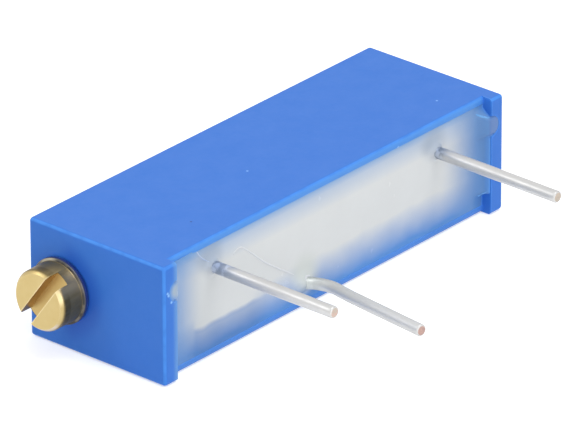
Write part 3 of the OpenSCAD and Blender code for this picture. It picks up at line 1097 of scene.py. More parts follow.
@dataclass
class Housing:
    """Moulded box: ridges, rim, resin recess, room for the carriage and bores for the screw."""

    end_wall: float = 0.7
    rim_wall: float = 0.32
    ridge_h: float = 0.4
    edge_r: float = 0.15
    edge_steps: int = 5
    lip_r: float = 0.08
    lip_steps: int = 3
    notch_r: float = 0.42
    notch_steps: int = 48
    room_x: tuple[float, float] = (-6.75, 7.95)
    room_wall: float = 0.6
    window_z: tuple[float, float] = (1.16, 4.15)
    roof_y: float = 2.75
    rail_y: float = -1.0
    bore_r: float = 0.98
    tip_bore_r: float = 0.53
    tip_bore_end: float = 8.85
    fork_slot: tuple[float, float, float] = (0.14, 0.88, 1.05)
    lap: float = 0.01
    beyond: float = 1.0
    nicks: tuple[Nick, ...] = (
        Nick((-9.345, -3.25, 3.70), 0.07), Nick((-9.29, -3.25, 3.60), 0.08),
        Nick((-9.14, -3.25, 3.28), 0.075), Nick((-1.57, -0.29, 4.75), 0.06),
        Nick((7.45, -1.75, 4.75), 0.06), Nick((3.92, -2.85, 4.48), 0.07),
        Nick((-6.03, -1.47, 4.75), 0.06, (0.020, 0.090, 0.360)))

    def __post_init__(self) -> None:
        """Takes its outer size and the places of its neighbours from the solids."""
        self.low, self.high = box_mm("housing")
        self.rim_y = self.low.y + self.ridge_h
        self.rim_x = self.high.x - self.end_wall
        self.seat_y = box_mm("substrate")[1].y
        self.screw = middle_mm("adjusting_screw")
        self.fork_x = middle_mm("retaining_fork").x
        self.notch_z = middle_mm("pin_1").z

    def recess(self) -> Stock:
        """Tool for the resin recess, which also rounds the long rims inside and out.

        Returns:
            The tool.
        """
        outer = [(self.rim_y + depth, inset)
                 for depth, inset in quarter_round(self.edge_r, self.edge_steps)]
        lip = [(self.rim_y + depth, self.rim_wall - inset)
               for depth, inset in quarter_round(self.lip_r, self.lip_steps)]
        edge = [(self.rim_y + self.edge_r, -self.beyond), *outer[::-1], *lip, (self.seat_y, self.rim_wall)]
        far = self.low.y - self.beyond
        lower = [(far, self.low.z - self.beyond), *((y, self.low.z + z) for y, z in edge)]
        upper = [(far, self.high.z + self.beyond), *((y, self.high.z - z) for y, z in edge)]
        outline = lower + upper[::-1]
        return Stock.prism(outline, 0, -self.rim_x, self.rim_x)

    def notches(self, start: float, end: float, radius: float) -> list[Stock]:
        """Round bars through the two notches, from a start toward the pins to an end."""
        return [Stock.turned([(start, radius), (end, radius)], (side * self.rim_x, 0, self.notch_z),
                             self.notch_steps, 1) for side in (-1, 1)]

    def tools(self) -> list[Stock]:
        """Tools for the notches, the room, its window, the bores and the fork's slot.

        Returns:
            The tools.
        """
        start, end = self.room_x
        slot_x, slot_y, slot_z = self.fork_slot
        return [
            *self.notches(self.low.y - self.beyond, self.rim_y, self.notch_r),
            Stock.block((start, self.rail_y, self.low.z + self.room_wall),
                        (end, self.roof_y, self.high.z - self.room_wall)),
            Stock.block((start, self.seat_y - self.lap, self.window_z[0]),
                        (end, self.rail_y + self.lap, self.window_z[1])),
            Stock.turned([(self.low.x - self.beyond, self.bore_r), (start + self.lap, self.bore_r)],
                         self.screw),
            Stock.turned([(end - self.lap, self.tip_bore_r), (self.tip_bore_end, self.tip_bore_r)],
                         self.screw),
            Stock.block((self.fork_x - slot_x, self.seat_y - self.lap, self.screw.z - slot_z),
                        (self.fork_x + slot_x, self.screw.y + slot_y, self.screw.z + slot_z))]

    def finish(self) -> MouldedBlue:
        """The housing's finish, with its places taken from the housing and the screw.

        Returns:
            The finish.
        """
        # The edge colour is a painted highlight along the rounded edges.
        return MouldedBlue(
            "moulded_blue", (0.047, 0.203, 0.706), (0.040, 0.189, 0.684), (0.080, 0.315, 0.920),
            roughness=(0.34, 0.44), specular=0.20, patch_scale=1.1, contrast=2.0, grain_scale=2.2,
            coarse_share=0.8, relief=0.010, edge_strength=0.70, edge_width=0.18, fleck=(0.20, 0.38, 0.86),
            fleck_share=0.05, fleck_size=0.03, fleck_scale=0.8, rim_y=self.rim_y, rim_x=self.rim_x,
            head=(self.screw.y, self.screw.z), flange_r=Screw.flange_r, nicks=self.nicks)

    def on_lip(self, edge: bmesh.types.BMEdge) -> bool:
        """Says whether an edge is the inner upper edge of a ridge."""
        return all(abs(v.co.y - self.low.y) < NEAR and abs(v.co.x) < self.rim_x + self.notch_r + NEAR
                   for v in edge.verts)

    def build(self) -> bpy.types.Object:
        """Makes the housing.

        Returns:
            The piece.
        """
        body = Stock.block(self.low, self.high)
        body.soften(self.edge_r, self.edge_steps)
        body.cut(self.recess(), *self.tools())
        body.soften(self.lip_r, self.lip_steps, self.on_lip)
        return body.piece("HousingShell", Body.HOUSING, Slot.HOUSING, [self.finish().build()], ["housing"])


@dataclass
class Screw:
    """Lead screw: slotted head, flange, grooved journal, rolled thread and tip.

    The roundings are pairs of a step along the screw and a change of radius.
    """

    head_r: float = 1.19
    head_round: Outline = (
        (0.0, -0.135), (0.008, -0.12), (0.085, -0.050), (0.12, -0.024), (0.16, -0.006), (0.20, 0.0))
    head_foot: Outline = ((-0.06, 0.0), (-0.02, 0.015), (0.0, 0.06))
    flange_r: float = 1.29
    flange: tuple[float, float] = (-9.785, -9.565)
    flange_front: Outline = ((0.0, -0.04), (0.02, -0.01), (0.05, 0.0))
    flange_back: Outline = ((-0.05, 0.0), (-0.01, -0.02), (0.0, -0.05))
    journal_r: float = 0.95
    journal_edge: float = 0.03
    seal_groove: tuple[float, float, float] = (-8.4, -7.7, 0.57)
    fork_groove: tuple[float, float, float] = (-7.36, -7.04, 0.6)
    groove_edge: float = 0.02
    thread: tuple[float, float] = (-6.75, 7.6)
    thread_r: float = 0.8
    thread_depth: float = 0.17
    flank: tuple[float, float] = (0.28, 0.80)
    run_out: tuple[float, float] = (0.5, 0.4)
    pitch: float = 0.75
    row: float = 0.0625
    tip_r: float = 0.5
    tip_edge: float = 0.08
    slot_w: float = 0.58
    slot_depth: float = 0.6
    slot_lean: float = math.radians(36.0)
    slot_edge: float = 0.025
    slot_edge_steps: int = 2
    slot_reach: float = 2.0
    beyond: float = 1.0
    steps: int = 72

    def __post_init__(self) -> None:
        """Takes the axis and the ends from the solid."""
        self.low, self.high = box_mm("adjusting_screw")
        self.axis = (self.low + self.high) / 2

    def crest(self, along: float, angle: float, gap: float = 0.0, root: float | None = None) -> float:
        """Change of radius of the thread, zero on its crest.

        Args:
            along: Place along the axis.
            angle: Angle round the axis.
            gap: Widening of the flanks, for a tool that cuts a nut.
            root: Greatest depth; the thread's own where it isn't given.

        Returns:
            The change of radius.
        """
        depth = self.thread_depth if root is None else root
        phase = along / self.pitch - angle / FULL_TURN
        across = abs(phase - math.floor(phase) - 0.5) * 2
        width = gap / self.pitch * 2
        return -depth * smooth(across, self.flank[0] + width, self.flank[1] + width)

    def lift(self, along: float, angle: float) -> float:
        """Change of radius of the screw: the thread, which runs out into a relief at both of its ends.

        Args:
            along: Place along the axis.
            angle: Angle round the axis.

        Returns:
            The change of radius.
        """
        start, end = self.thread
        if not start < along < end:
            return 0.0
        fade = min(smooth(along, start, start + self.run_out[0]), smooth(along, end, end - self.run_out[1]))
        return self.crest(along, angle) * fade - self.thread_depth * (1 - fade)

    def profile(self) -> list[tuple[float, float]]:
        """Outline of the screw from the face to the tip.

        Returns:
            Pairs of place along the axis and radius.
        """
        journal, edge = self.journal_r, self.groove_edge
        front, back = self.flange
        line = [(start + along, radius + out) for start, radius, shape in (
            (self.low.x, self.head_r, self.head_round), (front, self.head_r, self.head_foot),
            (front, self.flange_r, self.flange_front), (back, self.flange_r, self.flange_back))
            for along, out in shape]
        line.append((back, journal))
        for start, end, radius in (self.seal_groove, self.fork_groove):
            line += [(start - edge, journal), (start, journal - edge), (start, radius), (end, radius),
                     (end, journal - edge), (end + edge, journal)]
        first, last = self.thread
        rows = round((last - first) / self.row)
        line += [(first - self.journal_edge, journal), (first, journal - self.journal_edge),
                 (first, self.thread_r)]
        line += [(first + (last - first) * i / rows, self.thread_r) for i in range(1, rows)]
        line += [(last, self.thread_r - self.thread_depth), (last, self.tip_r),
                 (self.high.x - self.tip_edge, self.tip_r), (self.high.x, self.tip_r - self.tip_edge)]
        return line

    def on_slot(self, edge: bmesh.types.BMEdge) -> bool:
        """Says whether an edge lies on a wall of the slot.

        Args:
            edge: The edge.

        Returns:
            True where both of its ends do.
        """
        for vert in edge.verts:
            off = vert.co - self.axis
            from_middle = abs(off.y * math.cos(self.slot_lean) + off.z * math.sin(self.slot_lean))
            if vert.co.x > self.low.x + self.slot_depth + NEAR or abs(from_middle - self.slot_w / 2) > NEAR:
                return False
        return True

    def finish(self) -> TurnedBrass:
        """The screw's finish, with its places taken from the screw.

        Returns:
            The finish.
        """
        # The edge colour is a painted highlight along the head's rims.
        return TurnedBrass(
            "turned_brass", (0.60, 0.475, 0.225), (0.545, 0.41, 0.17), (0.86, 0.74, 0.46),
            roughness=(0.30, 0.42), metallic=0.9, patch_scale=0.8, contrast=1.4, grain_scale=6.0,
            relief=0.003, edge_strength=0.9, axis=(self.axis.y, self.axis.z), head_r=self.head_r,
            face_x=self.low.x, flange_x=self.flange[0])

    def build(self) -> bpy.types.Object:
        """Makes the screw.

        Returns:
            The piece.
        """
        body = Stock.turned(self.profile(), self.axis, self.steps, lift=self.lift)
        half, reach = self.slot_w / 2, self.slot_reach
        slot = Stock.block((self.low.x - self.beyond, -half, -reach),
                           (self.low.x + self.slot_depth, half, reach))
        slot.bm.transform(Matrix.Translation((0, self.axis.y, self.axis.z))
                          @ Matrix.Rotation(self.slot_lean, 4, "X"))
        body.cut(slot)
        body.soften(self.slot_edge, self.slot_edge_steps, self.on_slot)
        return body.piece("LeadScrew", Body.SCREW, Slot.SCREW, [self.finish().build()], ["adjusting_screw"])


@dataclass
class Carriage:
    """Carriage: saddle with a half nut, four runners and the post that holds the wiper."""

    screw: Screw
    length: float = 3.0
    depth: tuple[float, float] = (-0.85, 2.45)
    room_z: tuple[float, float] = (0.6, 4.15)
    runner: tuple[float, float, float] = (0.6, 1.0, 0.12)
    runner_y: float = -0.75
    slide_gap: float = 0.03
    block_edge: float = 0.06
    runner_edge: float = 0.05
    edge_steps: int = 2
    post: tuple[float, float, float] = (1.25, 2.175, 0.28)
    post_head: Outline = ((0.01, 0.0), (0.01, 0.09), (0.05, 0.12), (0.12, 0.05))
    post_steps: int = 40
    leaf_t: float = 0.08
    nut_gap: float = 0.03
    nut_root: float = 0.12
    nut_over: float = 0.4
    beyond: float = 1.0

    def __post_init__(self) -> None:
        """Takes its place from the solid."""
        self.start = box_mm("carriage")[0].x
        self.end = self.start + self.length

    def nut_tool(self) -> Stock:
        """Tool for the half nut: the screw's thread, a little larger all round.

        Returns:
            The tool.
        """
        run = self.length + 2 * self.nut_over
        rows = round(run / self.screw.row)
        start, radius = self.start - self.nut_over, self.screw.thread_r + self.nut_gap
        return Stock.turned([(start + run * i / rows, radius) for i in range(rows + 1)],
                            self.screw.axis, self.screw.steps,
                            lift=lambda x, a: self.screw.crest(x, a, self.nut_gap, self.nut_root))

    def runners(self) -> list[Stock]:
        """The two pairs of runners, each pair a bar across the block.

        Returns:
            The bars.
        """
        length, height, _ = self.runner
        low, high = self.room_z[0] + self.slide_gap, self.room_z[1] - self.slide_gap
        return [Stock.block((x, self.runner_y, low), (x + length, self.runner_y + height, high))
                .soften(self.runner_edge, self.edge_steps) for x in (self.start, self.end - length)]

    def wiper_post(self) -> Stock:
        """Post through the wiper's leaf, with its head pressed over.

        Returns:
            The post.
        """
        x, z, radius = self.post
        top = self.depth[0] - self.leaf_t
        outline = [(self.runner_y, radius), *((top - past, radius + out) for past, out in self.post_head)]
        return Stock.turned(outline, (x, 0, z), self.post_steps, 1)

    def build(self) -> bpy.types.Object:
        """Makes the carriage.

        Returns:
            The piece.
        """
        inset = self.slide_gap + self.runner[2]
        body = Stock.block((self.start, self.depth[0], self.room_z[0] + inset),
                           (self.end, self.depth[1], self.room_z[1] - inset))
        body.soften(self.block_edge, self.edge_steps)
        body.join(*self.runners(), self.wiper_post())
        axis = self.screw.axis
        wide = self.screw.thread_r + self.nut_gap
        saddle = Stock.block(
            (self.start - self.beyond, axis.y, axis.z - wide),
            (self.end + self.beyond, self.depth[1] + self.beyond, axis.z + wide))
        body.cut(self.nut_tool(), saddle)
        look = record_finish(Slot.CARRIAGE)
        return body.piece("CarriageBlock", Body.CARRIAGE, Slot.CARRIAGE, [look], ["carriage"])


@dataclass
class WirePin:
    """One tinned wire, from its solder to its cut end.

    The corners are places across the wire's own grid point, the height, and the radius of the bend.
    """

    node: str
    corners: tuple[tuple[float, float, float, float], ...]
    radius: float = 0.23
    steps: int = 40
    hole: tuple[float, float] | None = None
    bend_step: float = 6.0
    least_bend: int = 4
    straight_rows: int = 24
    waver: tuple[float, float] = (0.012, 0.9)
    first_side: Point = (0.4, 0.0, 0.9)
    cut_round: Outline = ((0.06, 0.0), (0.03, 0.008), (0.01, 0.026), (0.0, 0.05), (0.0, 0.056))
    look: Finish = TIN
    cut_look: Finish = CUT_COPPER

    def places(self) -> list[Vector]:
        """Corners of the wire's route, from the solder to the cut end.

        Returns:
            The corners.
        """
        low, high = box_mm(self.node)
        x, z = high.x - self.radius, low.z + self.radius
        spots = [Vector((x, high.y, z)), *(Vector((x + dx, y, z + dz)) for dx, y, dz, _ in self.corners)]
        spots[-1].y = low.y
        if self.hole:
            for spot in spots[:2]:
                spot.x, spot.z = self.hole
        return spots

    def route(self) -> list[Vector]:
        """Points along the wire's middle, with its corners rounded.

        Returns:
            The points.
        """
        corners = self.places()
        points = [corners[0]]
        for before, corner, after, (*_, radius) in zip(corners, corners[1:], corners[2:], self.corners):
            into, out = (corner - before).normalized(), (after - corner).normalized()
            turn = into.angle(out)
            if turn < NEAR:
                continue
            steps = max(self.least_bend, round(math.degrees(turn) / self.bend_step))
            start = corner - into * radius * math.tan(turn / 2)
            inward = (out - into * into.dot(out)).normalized()
            for angle in (turn * i / steps for i in range(steps + 1)):
                ahead, aside = into * radius * math.sin(angle), inward * radius * (1 - math.cos(angle))
                points.append(start + ahead + aside)
        rows = self.straight_rows
        return points + [points[-1].lerp(corners[-1], i / rows) for i in range(1, rows + 1)]

    def build(self) -> bpy.types.Object:
        """Makes the wire: rings along its route, then the rounded rim of its cut end.

        Returns:
            The piece.
        """
        points = self.route()
        along = directions(points)
        amount, scale = self.waver
        stations = [(spot, way, self.radius * (1 + amount * noise.noise(spot * scale)))
                    for spot, way in zip(points[:-2], along)]
        stations.append((points[-2], along[-2], self.radius))
        stations += [(points[-1] - along[-1] * back, along[-1], self.radius - inset)
                     for back, inset in self.cut_round]
        side = Vector(self.first_side)
        rings = []
        for spot, way, radius in stations:
            side = (side - way * side.dot(way)).normalized()
            rings.append(ring(spot, side, way.cross(side), radius, self.steps))
        looks = [self.look.build(), self.cut_look.build()]
        return Stock.loft(rings, cap_material=1).piece(
            "Wire" + self.node[-1], Body.HOUSING, Slot.PIN, looks, [self.node])


@dataclass(frozen=True)
class Thread:
    """Thread on the surface, of resin or of painted highlight: its finish, and the places along and across
    that it passes.
    """

    look: Finish
    corners: Outline


@dataclass
class Potting:
    """Resin that closes the pin side; it climbs the walls and the wires and sinks where it shrank."""

    housing: Housing
    wires: Sequence[WirePin]
    surface_y: float = -2.83
    back_y: float = -1.64
    plate_gap: float = 0.01
    overlap: float = 0.09
    rim_overlap: float = 0.15
    past_notch: float = 0.1
    notch_reach: tuple[float, float] = (-0.9, 0.05)
    foot_over: float = 0.3
    trim_z: float = 0.2
    cell: float = 0.06
    ridge_climb: tuple[float, float] = (0.41, 0.12)
    climb_z: tuple[tuple[float, float], tuple[float, float]] = ((0.70, 0.90), (4.14, 3.98))
    wire_climbs: Outline = ((0.20, 0.07), (0.16, 0.16), (0.20, 0.07))
    climb_limit: float = 1.0
    notch_fill: float = 0.41
    notch_run: float = 0.5
    notch_edge: tuple[float, float] = (0.3, -0.15)
    flood: tuple[float, float, float] = (0.05, -7.0, -8.2)
    flood_width: float = 0.5
    foot_hump: tuple[float, float, float, float] = (-1.66, 1.02, 0.14, 0.22)
    waver: float = 0.006
    waves: tuple[tuple[float, float, float], ...] = ((1.0, 0.8, 0.0), (0.4, 2.6, 5.0))
    thread_r: float = 0.042
    thread_lift: float = 0.020
    thread_steps: int = 10
    thread_cuts: int = 4
    thread_rounds: int = 3
    taper: tuple[int, float] = (3, 0.25)
    threads: tuple[Thread, ...] = (
        Thread(PALE_THREAD, ((-5.33, 3.52), (-5.24, 3.64), (-5.08, 3.73), (-4.89, 3.74), (-4.68, 3.60),
                             (-4.16, 3.16), (-3.75, 2.77), (-3.30, 2.42), (-2.45, 1.83), (-1.82, 1.42))),
        Thread(BLUISH_THREAD, ((-7.33, 4.53), (-7.20, 4.28), (-6.98, 4.06), (-6.66, 3.83))),
        Thread(PALE_THREAD, ((-1.52, 1.13), (-1.51, 1.20), (-1.47, 1.25), (-1.38, 1.26), (-1.26, 1.23),
                             (-1.12, 1.16))),
        # Painted highlight strokes at the far ridge.
        Thread(GLINT_STROKE, ((8.36, 4.22), (8.50, 4.10), (8.66, 4.02), (8.80, 4.00))),
        Thread(GLINT_STROKE, ((8.52, 0.80), (8.60, 0.74), (8.70, 0.80), (8.79, 0.94))))
    wire_shade: Colour = (0.30, 0.37, 0.48)
    shade_shift: tuple[float, float] = (-0.1, 0.45)
    shade_size: tuple[float, float] = (0.95, 0.55)

    def __post_init__(self) -> None:
        """Finds where each wire runs through the resin and where it comes out."""
        self.runs = [[spot for spot in wire.route() if spot.y < self.surface_y + self.foot_over]
                     for wire in self.wires]
        self.feet = [min(run, key=lambda p: abs(p.y - self.surface_y)) for run in self.runs]
        self.plate_low, self.plate_high = box_mm("substrate")

    @staticmethod
    def off_line(spot: Vector, line: Sequence[Vector]) -> float:
        """Distance from a point to the nearest part of an open line of points.

        Args:
            spot: The point.
            line: The line.

        Returns:
            The distance.
        """
        best = math.inf
        for a, b in zip(line, line[1:]):
            run = b - a
            share = min(max((spot - a).dot(run) / run.length_squared, 0.0), 1.0)
            best = min(best, (spot - a - run * share).length)
        return best

    def at_walls(self, x: float, z: float) -> float:
        """Height that the resin climbs at the ridges and in their notches.

        Args:
            x: Place along the housing.
            z: Place across it.

        Returns:
            The height.
        """
        h = self.housing
        off_notch = abs(z - h.notch_z)
        from_wall = max(h.rim_x - abs(x), h.notch_r - math.hypot(abs(x) - h.rim_x, z - h.notch_z))
        climb, reach = self.ridge_climb
        ends = math.prod(smooth(z, *span) for span in self.climb_z)
        in_notch = smooth(abs(x), h.rim_x - self.notch_run, h.rim_x)
        in_notch *= smooth(off_notch, *(h.notch_r + edge for edge in self.notch_edge))
        return max(climb * math.exp(-max(from_wall, 0.0) / reach) * ends, self.notch_fill * in_notch)

    def rise(self, x: float, z: float) -> float:
        """Height of the resin above its plain level.

        Args:
            x: Place along the housing.
            z: Place across it.

        Returns:
            The height, toward the pins.
        """
        top = self.housing.high.z - self.housing.rim_wall
        height = self.at_walls(x, z)
        height += self.flood[0] * smooth(x, *self.flood[1:]) * smooth(z, top - self.flood_width, top)
        spot = Vector((x, self.surface_y, z))
        for run, (climb, reach) in zip(self.runs, self.wire_climbs):
            near = self.off_line(spot, run) - self.wires[0].radius
            if near < self.climb_limit:
                height += climb * math.exp(-max(near, 0.0) / reach)
        hump_x, hump_z, hump, reach = self.foot_hump
        height += hump * math.exp(-((x - hump_x) ** 2 + (z - hump_z) ** 2) / reach ** 2)
        return height + self.waver * sum(share * noise.noise(Vector((x * scale, seed, z * scale)))
                                         for share, scale, seed in self.waves)

    def thread(self, corners: Outline) -> Stock:
        """Thread that lies on the surface: resin, or a stroke of painted highlight.

        Args:
            corners: Places along and across the housing that it passes.

        Returns:
            A thin closed tube, tapered at both ends.
        """
        line = [Vector((x, 0.0, z)) for x, z in corners]
        cuts = self.thread_cuts
        points = [a.lerp(b, i / cuts) for a, b in zip(line, line[1:]) for i in range(cuts)] + [line[-1]]
        for _ in range(self.thread_rounds):
            points[1:-1] = [(a + b * 2 + c) / 4 for a, b, c in zip(points, points[1:], points[2:])]
        rings = []
        up = Vector((0, 1, 0))
        reach, tip = self.taper
        for i, (spot, way) in enumerate(zip(points, directions(points))):
            full = min(1.0, i / reach, (len(points) - 1 - i) / reach)
            radius = self.thread_r * (tip + (1 - tip) * full)
            centre = Vector((spot.x, self.surface_y - self.rise(spot.x, spot.z) + self.thread_lift, spot.z))
            rings.append(ring(centre, way.cross(up), up, radius, self.thread_steps))
        return Stock.loft(rings)

    def slab(self) -> Stock:
        """Wavy slab, larger than the recess.

        Returns:
            The slab.
        """
        h = self.housing
        half_x = h.rim_x + h.notch_r + self.past_notch
        z0, z1 = h.low.z + self.trim_z, h.high.z - self.trim_z
        cells_x, cells_z = round(2 * half_x / self.cell), round((z1 - z0) / self.cell)
        slab = Stock()
        bm = slab.bm
        rows = []
        for z in (z0 + (z1 - z0) * j / cells_z for j in range(cells_z + 1)):
            xs = (-half_x + 2 * half_x * i / cells_x for i in range(cells_x + 1))
            rows.append([bm.verts.new((x, self.surface_y - self.rise(x, z), z)) for x in xs])
        for low_row, high_row in zip(rows, rows[1:]):
            for i in range(cells_x):
                bm.faces.new((low_row[i], low_row[i + 1], high_row[i + 1], high_row[i]))
        rim = rows[0] + [row[-1] for row in rows[1:]] + rows[-1][-2::-1] + [row[0] for row in rows[-2:0:-1]]
        foot = [bm.verts.new((v.co.x, self.back_y, v.co.z)) for v in rim]
        for i, vert in enumerate(rim):
            after = (i + 1) % len(rim)
            bm.faces.new((vert, foot[i], foot[after], rim[after]))
        bm.faces.new(foot)
        bmesh.ops.recalc_face_normals(bm, faces=bm.faces)
        return slab

    def finish(self) -> CastResin:
        """The resin's finish, with its places taken from the housing, the plate and the wires.

        Returns:
            The finish.
        """
        h = self.housing
        dx, dz = self.shade_shift
        # Painted shade above the feet of the outer wires.
        shades = [Pool(foot.x + dx, foot.z + dz, *self.shade_size, self.wire_shade)
                  for foot in self.feet[::2]]
        return CastResin(
            "cast_resin", (0.710, 0.735, 0.745), (0.680, 0.700, 0.708), (0.70, 0.73, 0.75),
            roughness=(0.20, 0.30), specular=0.35, patch_scale=0.5, contrast=1.5, grain_scale=1.2,
            coarse_share=0.9, relief=0.004, edge_strength=0.0, half=h.rim_x, top_z=h.high.z - h.rim_wall,
            plate_x=self.plate_low.x, notch_z=h.notch_z, pools=(
                *shades, Pool(-1.40, 1.36, 1.10, 0.9, (0.61, 0.65, 0.63)),
                # Painted shadow under the foot of the middle wire.
                Pool(-1.62, 0.73, 0.40, 0.7, (0.22, 0.32, 0.45)),
                Pool(-h.rim_x, h.notch_z - 0.05, 0.9, 0.55, (0.42, 0.50, 0.59))))

    def build(self) -> bpy.types.Object:
        """Makes the resin: the slab, trimmed to the recess and hollowed for the plate, its threads and its
        painted highlight strokes.

        Returns:
            The piece.
        """
        h = self.housing
        body = self.slab()
        mould = Stock.block(
            (-h.rim_x - self.overlap, h.low.y - h.beyond, h.low.z + h.rim_wall - self.rim_overlap),
            (h.rim_x + self.overlap, 0, h.high.z - h.rim_wall + self.rim_overlap))
        before, past = self.notch_reach
        mould.join(*h.notches(h.low.y + before, h.rim_y + past, h.notch_r + self.overlap))
        body.trim(mould)
        slack = Vector((self.plate_gap,) * 3)
        plate = Stock.block(self.plate_low - slack, self.plate_high + slack + Vector((0, 1, 0)))
        body.trim(plate, "DIFFERENCE")
        looks = [self.finish().build()]
        for thread in self.threads:
            material = thread.look.build()
            if material not in looks:
                looks.append(material)
            body.absorb(self.thread(thread.corners), looks.index(material))
        return body.piece("ResinFill", Body.HOUSING, Slot.RESIN, looks, ["potting"])


@dataclass
class SolderJoints:
    """Solder that holds the tail of each wire to its film, on the inner side of the plate."""

    nodes: Sequence[str] = ("solder_joint_1", "solder_joint_2", "solder_joint_3")
    foot_r: float = 0.34
    neck_r: float = 0.18
    top: Outline = ((0.02, 0.18), (0.004, 0.15), (0.0, 0.12))
    rows: int = 8
    steps: int = 36

    def build(self) -> list[bpy.types.Object]:
        """Makes the three hollow-sided domes.

        Returns:
            The pieces.
        """
        made = []
        spread = self.foot_r - self.neck_r
        for node in self.nodes:
            low, high = box_mm(node)
            sweep = [(low.y + (high.y - low.y) * t, self.neck_r + spread * (1 - t) ** 2)
                     for t in (i / self.rows for i in range(self.rows))]
            profile = [*sweep, *((high.y - depth, radius) for depth, radius in self.top)]
            dome = Stock.turned(profile, (low + high) / 2, self.steps, 1)
            look = record_finish(Slot.SOLDER)
            made.append(dome.piece("SolderDome" + node[-1], Body.HOUSING, Slot.SOLDER, [look], [node]))
        return made


@dataclass(frozen=True)
class KeptSolid:
    """A solid that keeps its own shape; some get a finish of their own and softened edges."""

    node: str
    look: Finish | None = None
    edge: float = 0.0
    sharp_angle: float = math.radians(40)

    def build(self) -> bpy.types.Object:
        """Puts the finish and the edge modifier on the solid.

        Returns:
            The solid's object.
        """
        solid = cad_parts[self.node]
        if self.look:
            solid.data.materials.clear()
            solid.data.materials.append(self.look.build())
        if self.edge:
            softened = solid.modifiers.new("softened edges", "BEVEL")
            softened.width = self.edge * MM
            softened.segments = 2
            softened.limit_method = "ANGLE"
            softened.angle_limit = self.sharp_angle
        LOG.info("%s: kept, finished in %s", self.node, solid.data.materials[0].name)
        return solid


KEPT = (
    KeptSolid("shaft_seal"),
    KeptSolid("retaining_fork", STAMPED_STEEL, 0.02),
    KeptSolid("wiper_spring"),
    KeptSolid("substrate", FIRED_CERAMIC, 0.03),
    KeptSolid("resistance_track"),
    KeptSolid("end_pad_1"),
    KeptSolid("end_pad_3"),
    KeptSolid("collector_track"),
)


# ---------------------------------------------------------------- studio


@dataclass(frozen=True)
class Lamp:
    """Soft round lamp: where it hangs, its width in millimetres, and its irradiance at the object."""

    name: str
    azimuth: float
    elevation: float
    distance: float
    width: float
    level: float

    def hang(self, middle: Vector) -> bpy.types.Object:
        """Hangs the lamp so that it faces the object.

        Args:
            middle: Middle of the object, in metres.

        Returns:
            The lamp's object.
        """
        data = bpy.data.lights.new(self.name, "AREA")
        data.shape = "DISK"
        data.size = self.width * MM
        data.energy = self.level * math.pi * math.pi * (self.distance * MM) ** 2
        lamp = bpy.data.objects.new(self.name, data)
        away = toward(self.azimuth, self.elevation)
        lamp.matrix_world = (Matrix.Translation(middle + away * self.distance * MM)
                             @ away.to_track_quat("Z", "Y").to_matrix().to_4x4())
        bpy.context.scene.collection.objects.link(lamp)
        return lamp


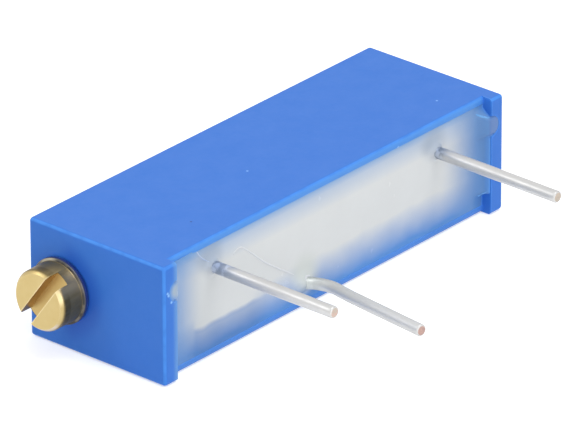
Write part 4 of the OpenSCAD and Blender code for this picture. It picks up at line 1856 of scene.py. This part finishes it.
@dataclass
class Studio:
    """Camera, pale floor, white surroundings and soft lamps."""

    azimuth: float = -49.35
    elevation: float = 26.217
    roll: float = -0.177
    distance: float = 316.0
    aim: tuple[float, float] = (0.681, 1.995)
    lens: float = 536.9
    sensor: float = 36.0
    clip: tuple[float, float] = (0.01, 5.0)
    ambient: float = 0.64
    floor_size: float = 400.0
    floor_gap: float = 0.03
    floor_light: float = 0.52
    paper: tuple[Colour, Colour] = ((0.80, 0.80, 0.80), (0.84, 0.84, 0.84))
    speckle: tuple[float, float] = (0.6, 3.0)
    lamps: tuple[Lamp, ...] = (
        Lamp("overhead", 0.0, 72.0, 120.0, 70.0, 0.32),
        Lamp("behind the head", -137.0, 38.0, 140.0, 60.0, 0.12),
        Lamp("pin side", -20.0, 14.0, 150.0, 90.0, 0.21),
    )

    def camera(self) -> bpy.types.Object:
        """Places the camera.

        Returns:
            The camera's object.
        """
        back = toward(self.azimuth, self.elevation)
        right = Vector((math.cos(math.radians(self.azimuth)), math.sin(math.radians(self.azimuth)), 0))
        up = back.cross(right)
        turn = Matrix.Rotation(math.radians(self.roll), 3, back)
        right, up = turn @ right, turn @ up
        data = bpy.data.cameras.new("camera")
        data.lens = self.lens
        data.sensor_width = self.sensor
        data.sensor_fit = "HORIZONTAL"
        data.clip_start, data.clip_end = self.clip
        eye = bpy.data.objects.new("camera", data)
        place = (back * self.distance + right * self.aim[0] + up * self.aim[1]) * MM
        eye.matrix_world = Matrix.Translation(place) @ Matrix((right, up, back)).transposed().to_4x4()
        bpy.context.scene.collection.objects.link(eye)
        bpy.context.scene.camera = eye
        return eye

    def world(self) -> None:
        """Even light from all round, seen as white by the camera and in reflections."""
        world = bpy.data.worlds.new("white room")
        world.use_nodes = True
        world.node_tree.nodes.clear()
        sheet = Sheet(world.node_tree)
        path = sheet.add("LightPath").outputs
        mirrored = sheet.maths("MAXIMUM", path["Is Glossy Ray"], path["Is Transmission Ray"])
        seen = sheet.maths("MAXIMUM", path["Is Camera Ray"], mirrored)
        strength = sheet.between(seen, self.ambient, 1.0)
        light = sheet.add("Background", {"Color": WHITE, "Strength": strength})
        sheet.add("OutputWorld", {"Surface": light.outputs[0]})
        bpy.context.scene.world = world

    def floor_paper(self) -> bpy.types.Material:
        """Paper that is white to the camera apart from shadows, and clear from below.

        Returns:
            The material.
        """
        material = bpy.data.materials.new("pale_floor")
        material.use_nodes = True
        material.node_tree.nodes.clear()
        sheet = Sheet(material.node_tree)
        path = sheet.add("LightPath").outputs
        seen = sheet.maths("MAXIMUM", path["Is Camera Ray"], path["Is Glossy Ray"])
        paper = sheet.mix(sheet.cloud(sheet.point(), *self.speckle), *self.paper)
        plain = sheet.add("BsdfPrincipled", {
            "Base Color": paper, "Roughness": 0.9, "Specular IOR Level": 0.1, "Emission Color": WHITE,
            "Emission Strength": sheet.product(seen, self.floor_light)})
        below = sheet.add("NewGeometry").outputs["Backfacing"]
        clear = sheet.add("BsdfTransparent")
        both = sheet.add("MixShader", {0: below, 1: plain.outputs[0], 2: clear.outputs[0]})
        sheet.add("OutputMaterial", {"Surface": both.outputs[0]})
        return material

    def floor(self) -> bpy.types.Object:
        """Lays the floor just under the object.

        Returns:
            The floor's object.
        """
        mesh = bpy.data.meshes.new("floor")
        bm = bmesh.new()
        bmesh.ops.create_grid(bm, x_segments=1, y_segments=1, size=self.floor_size / 2 * MM)
        bm.to_mesh(mesh)
        bm.free()
        mesh.materials.append(self.floor_paper())
        floor = bpy.data.objects.new("floor", mesh)
        floor.location.z = -self.floor_gap * MM
        bpy.context.scene.collection.objects.link(floor)
        floor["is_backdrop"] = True
        return floor

    def build(self) -> None:
        """Makes the whole studio."""
        self.camera()
        self.world()
        self.floor()
        middle = sum(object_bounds(), Vector()) / 2
        for lamp in self.lamps:
            lamp.hang(middle)
        bpy.context.scene.view_settings.view_transform = "Standard"


# ---------------------------------------------------------------- assembly


def bent_wires() -> list[WirePin]:
    """The three wires, each with its own small bends and finish.

    Returns:
        The wires, from the screw's end.
    """
    hole = middle_mm("solder_joint_2")
    return [
        WirePin("pin_1", (
            (0.0, -2.3, 0.0, 0.1), (-0.129, -2.75, -0.037, 0.3), (-0.173, -8.65, -0.016, 0.0)),
            look=LONG_SKIN_TIN),
        WirePin("pin_2", (
            (0.0, -2.5, 0.0, 0.3), (-1.11, -2.60, -0.035, 0.4), (0.583, -2.56, -0.197, 1.25),
            (0.097, -4.9, -0.132, 5.0), (-0.424, -8.65, -0.068, 0.0)),
            hole=(hole.x, hole.z), look=SUNK_TIN, cut_look=BROWN_COPPER),
        WirePin("pin_3", (
            (0.0, -2.3, 0.0, 0.1), (-0.297, -2.75, -0.118, 0.3), (-0.300, -8.65, -0.161, 0.0)),
            cut_look=TARNISHED_COPPER)]


def main() -> None:
    """Builds the studio and every piece in order."""
    logging.basicConfig(level=logging.INFO, format="%(name)s: %(message)s")
    Studio().build()
    housing, screw, wires = Housing(), Screw(), bent_wires()
    for part in (housing, screw, Carriage(screw), *wires, Potting(housing, wires), SolderJoints(), *KEPT):
        part.build()


if __name__ == "__main__":
    main()
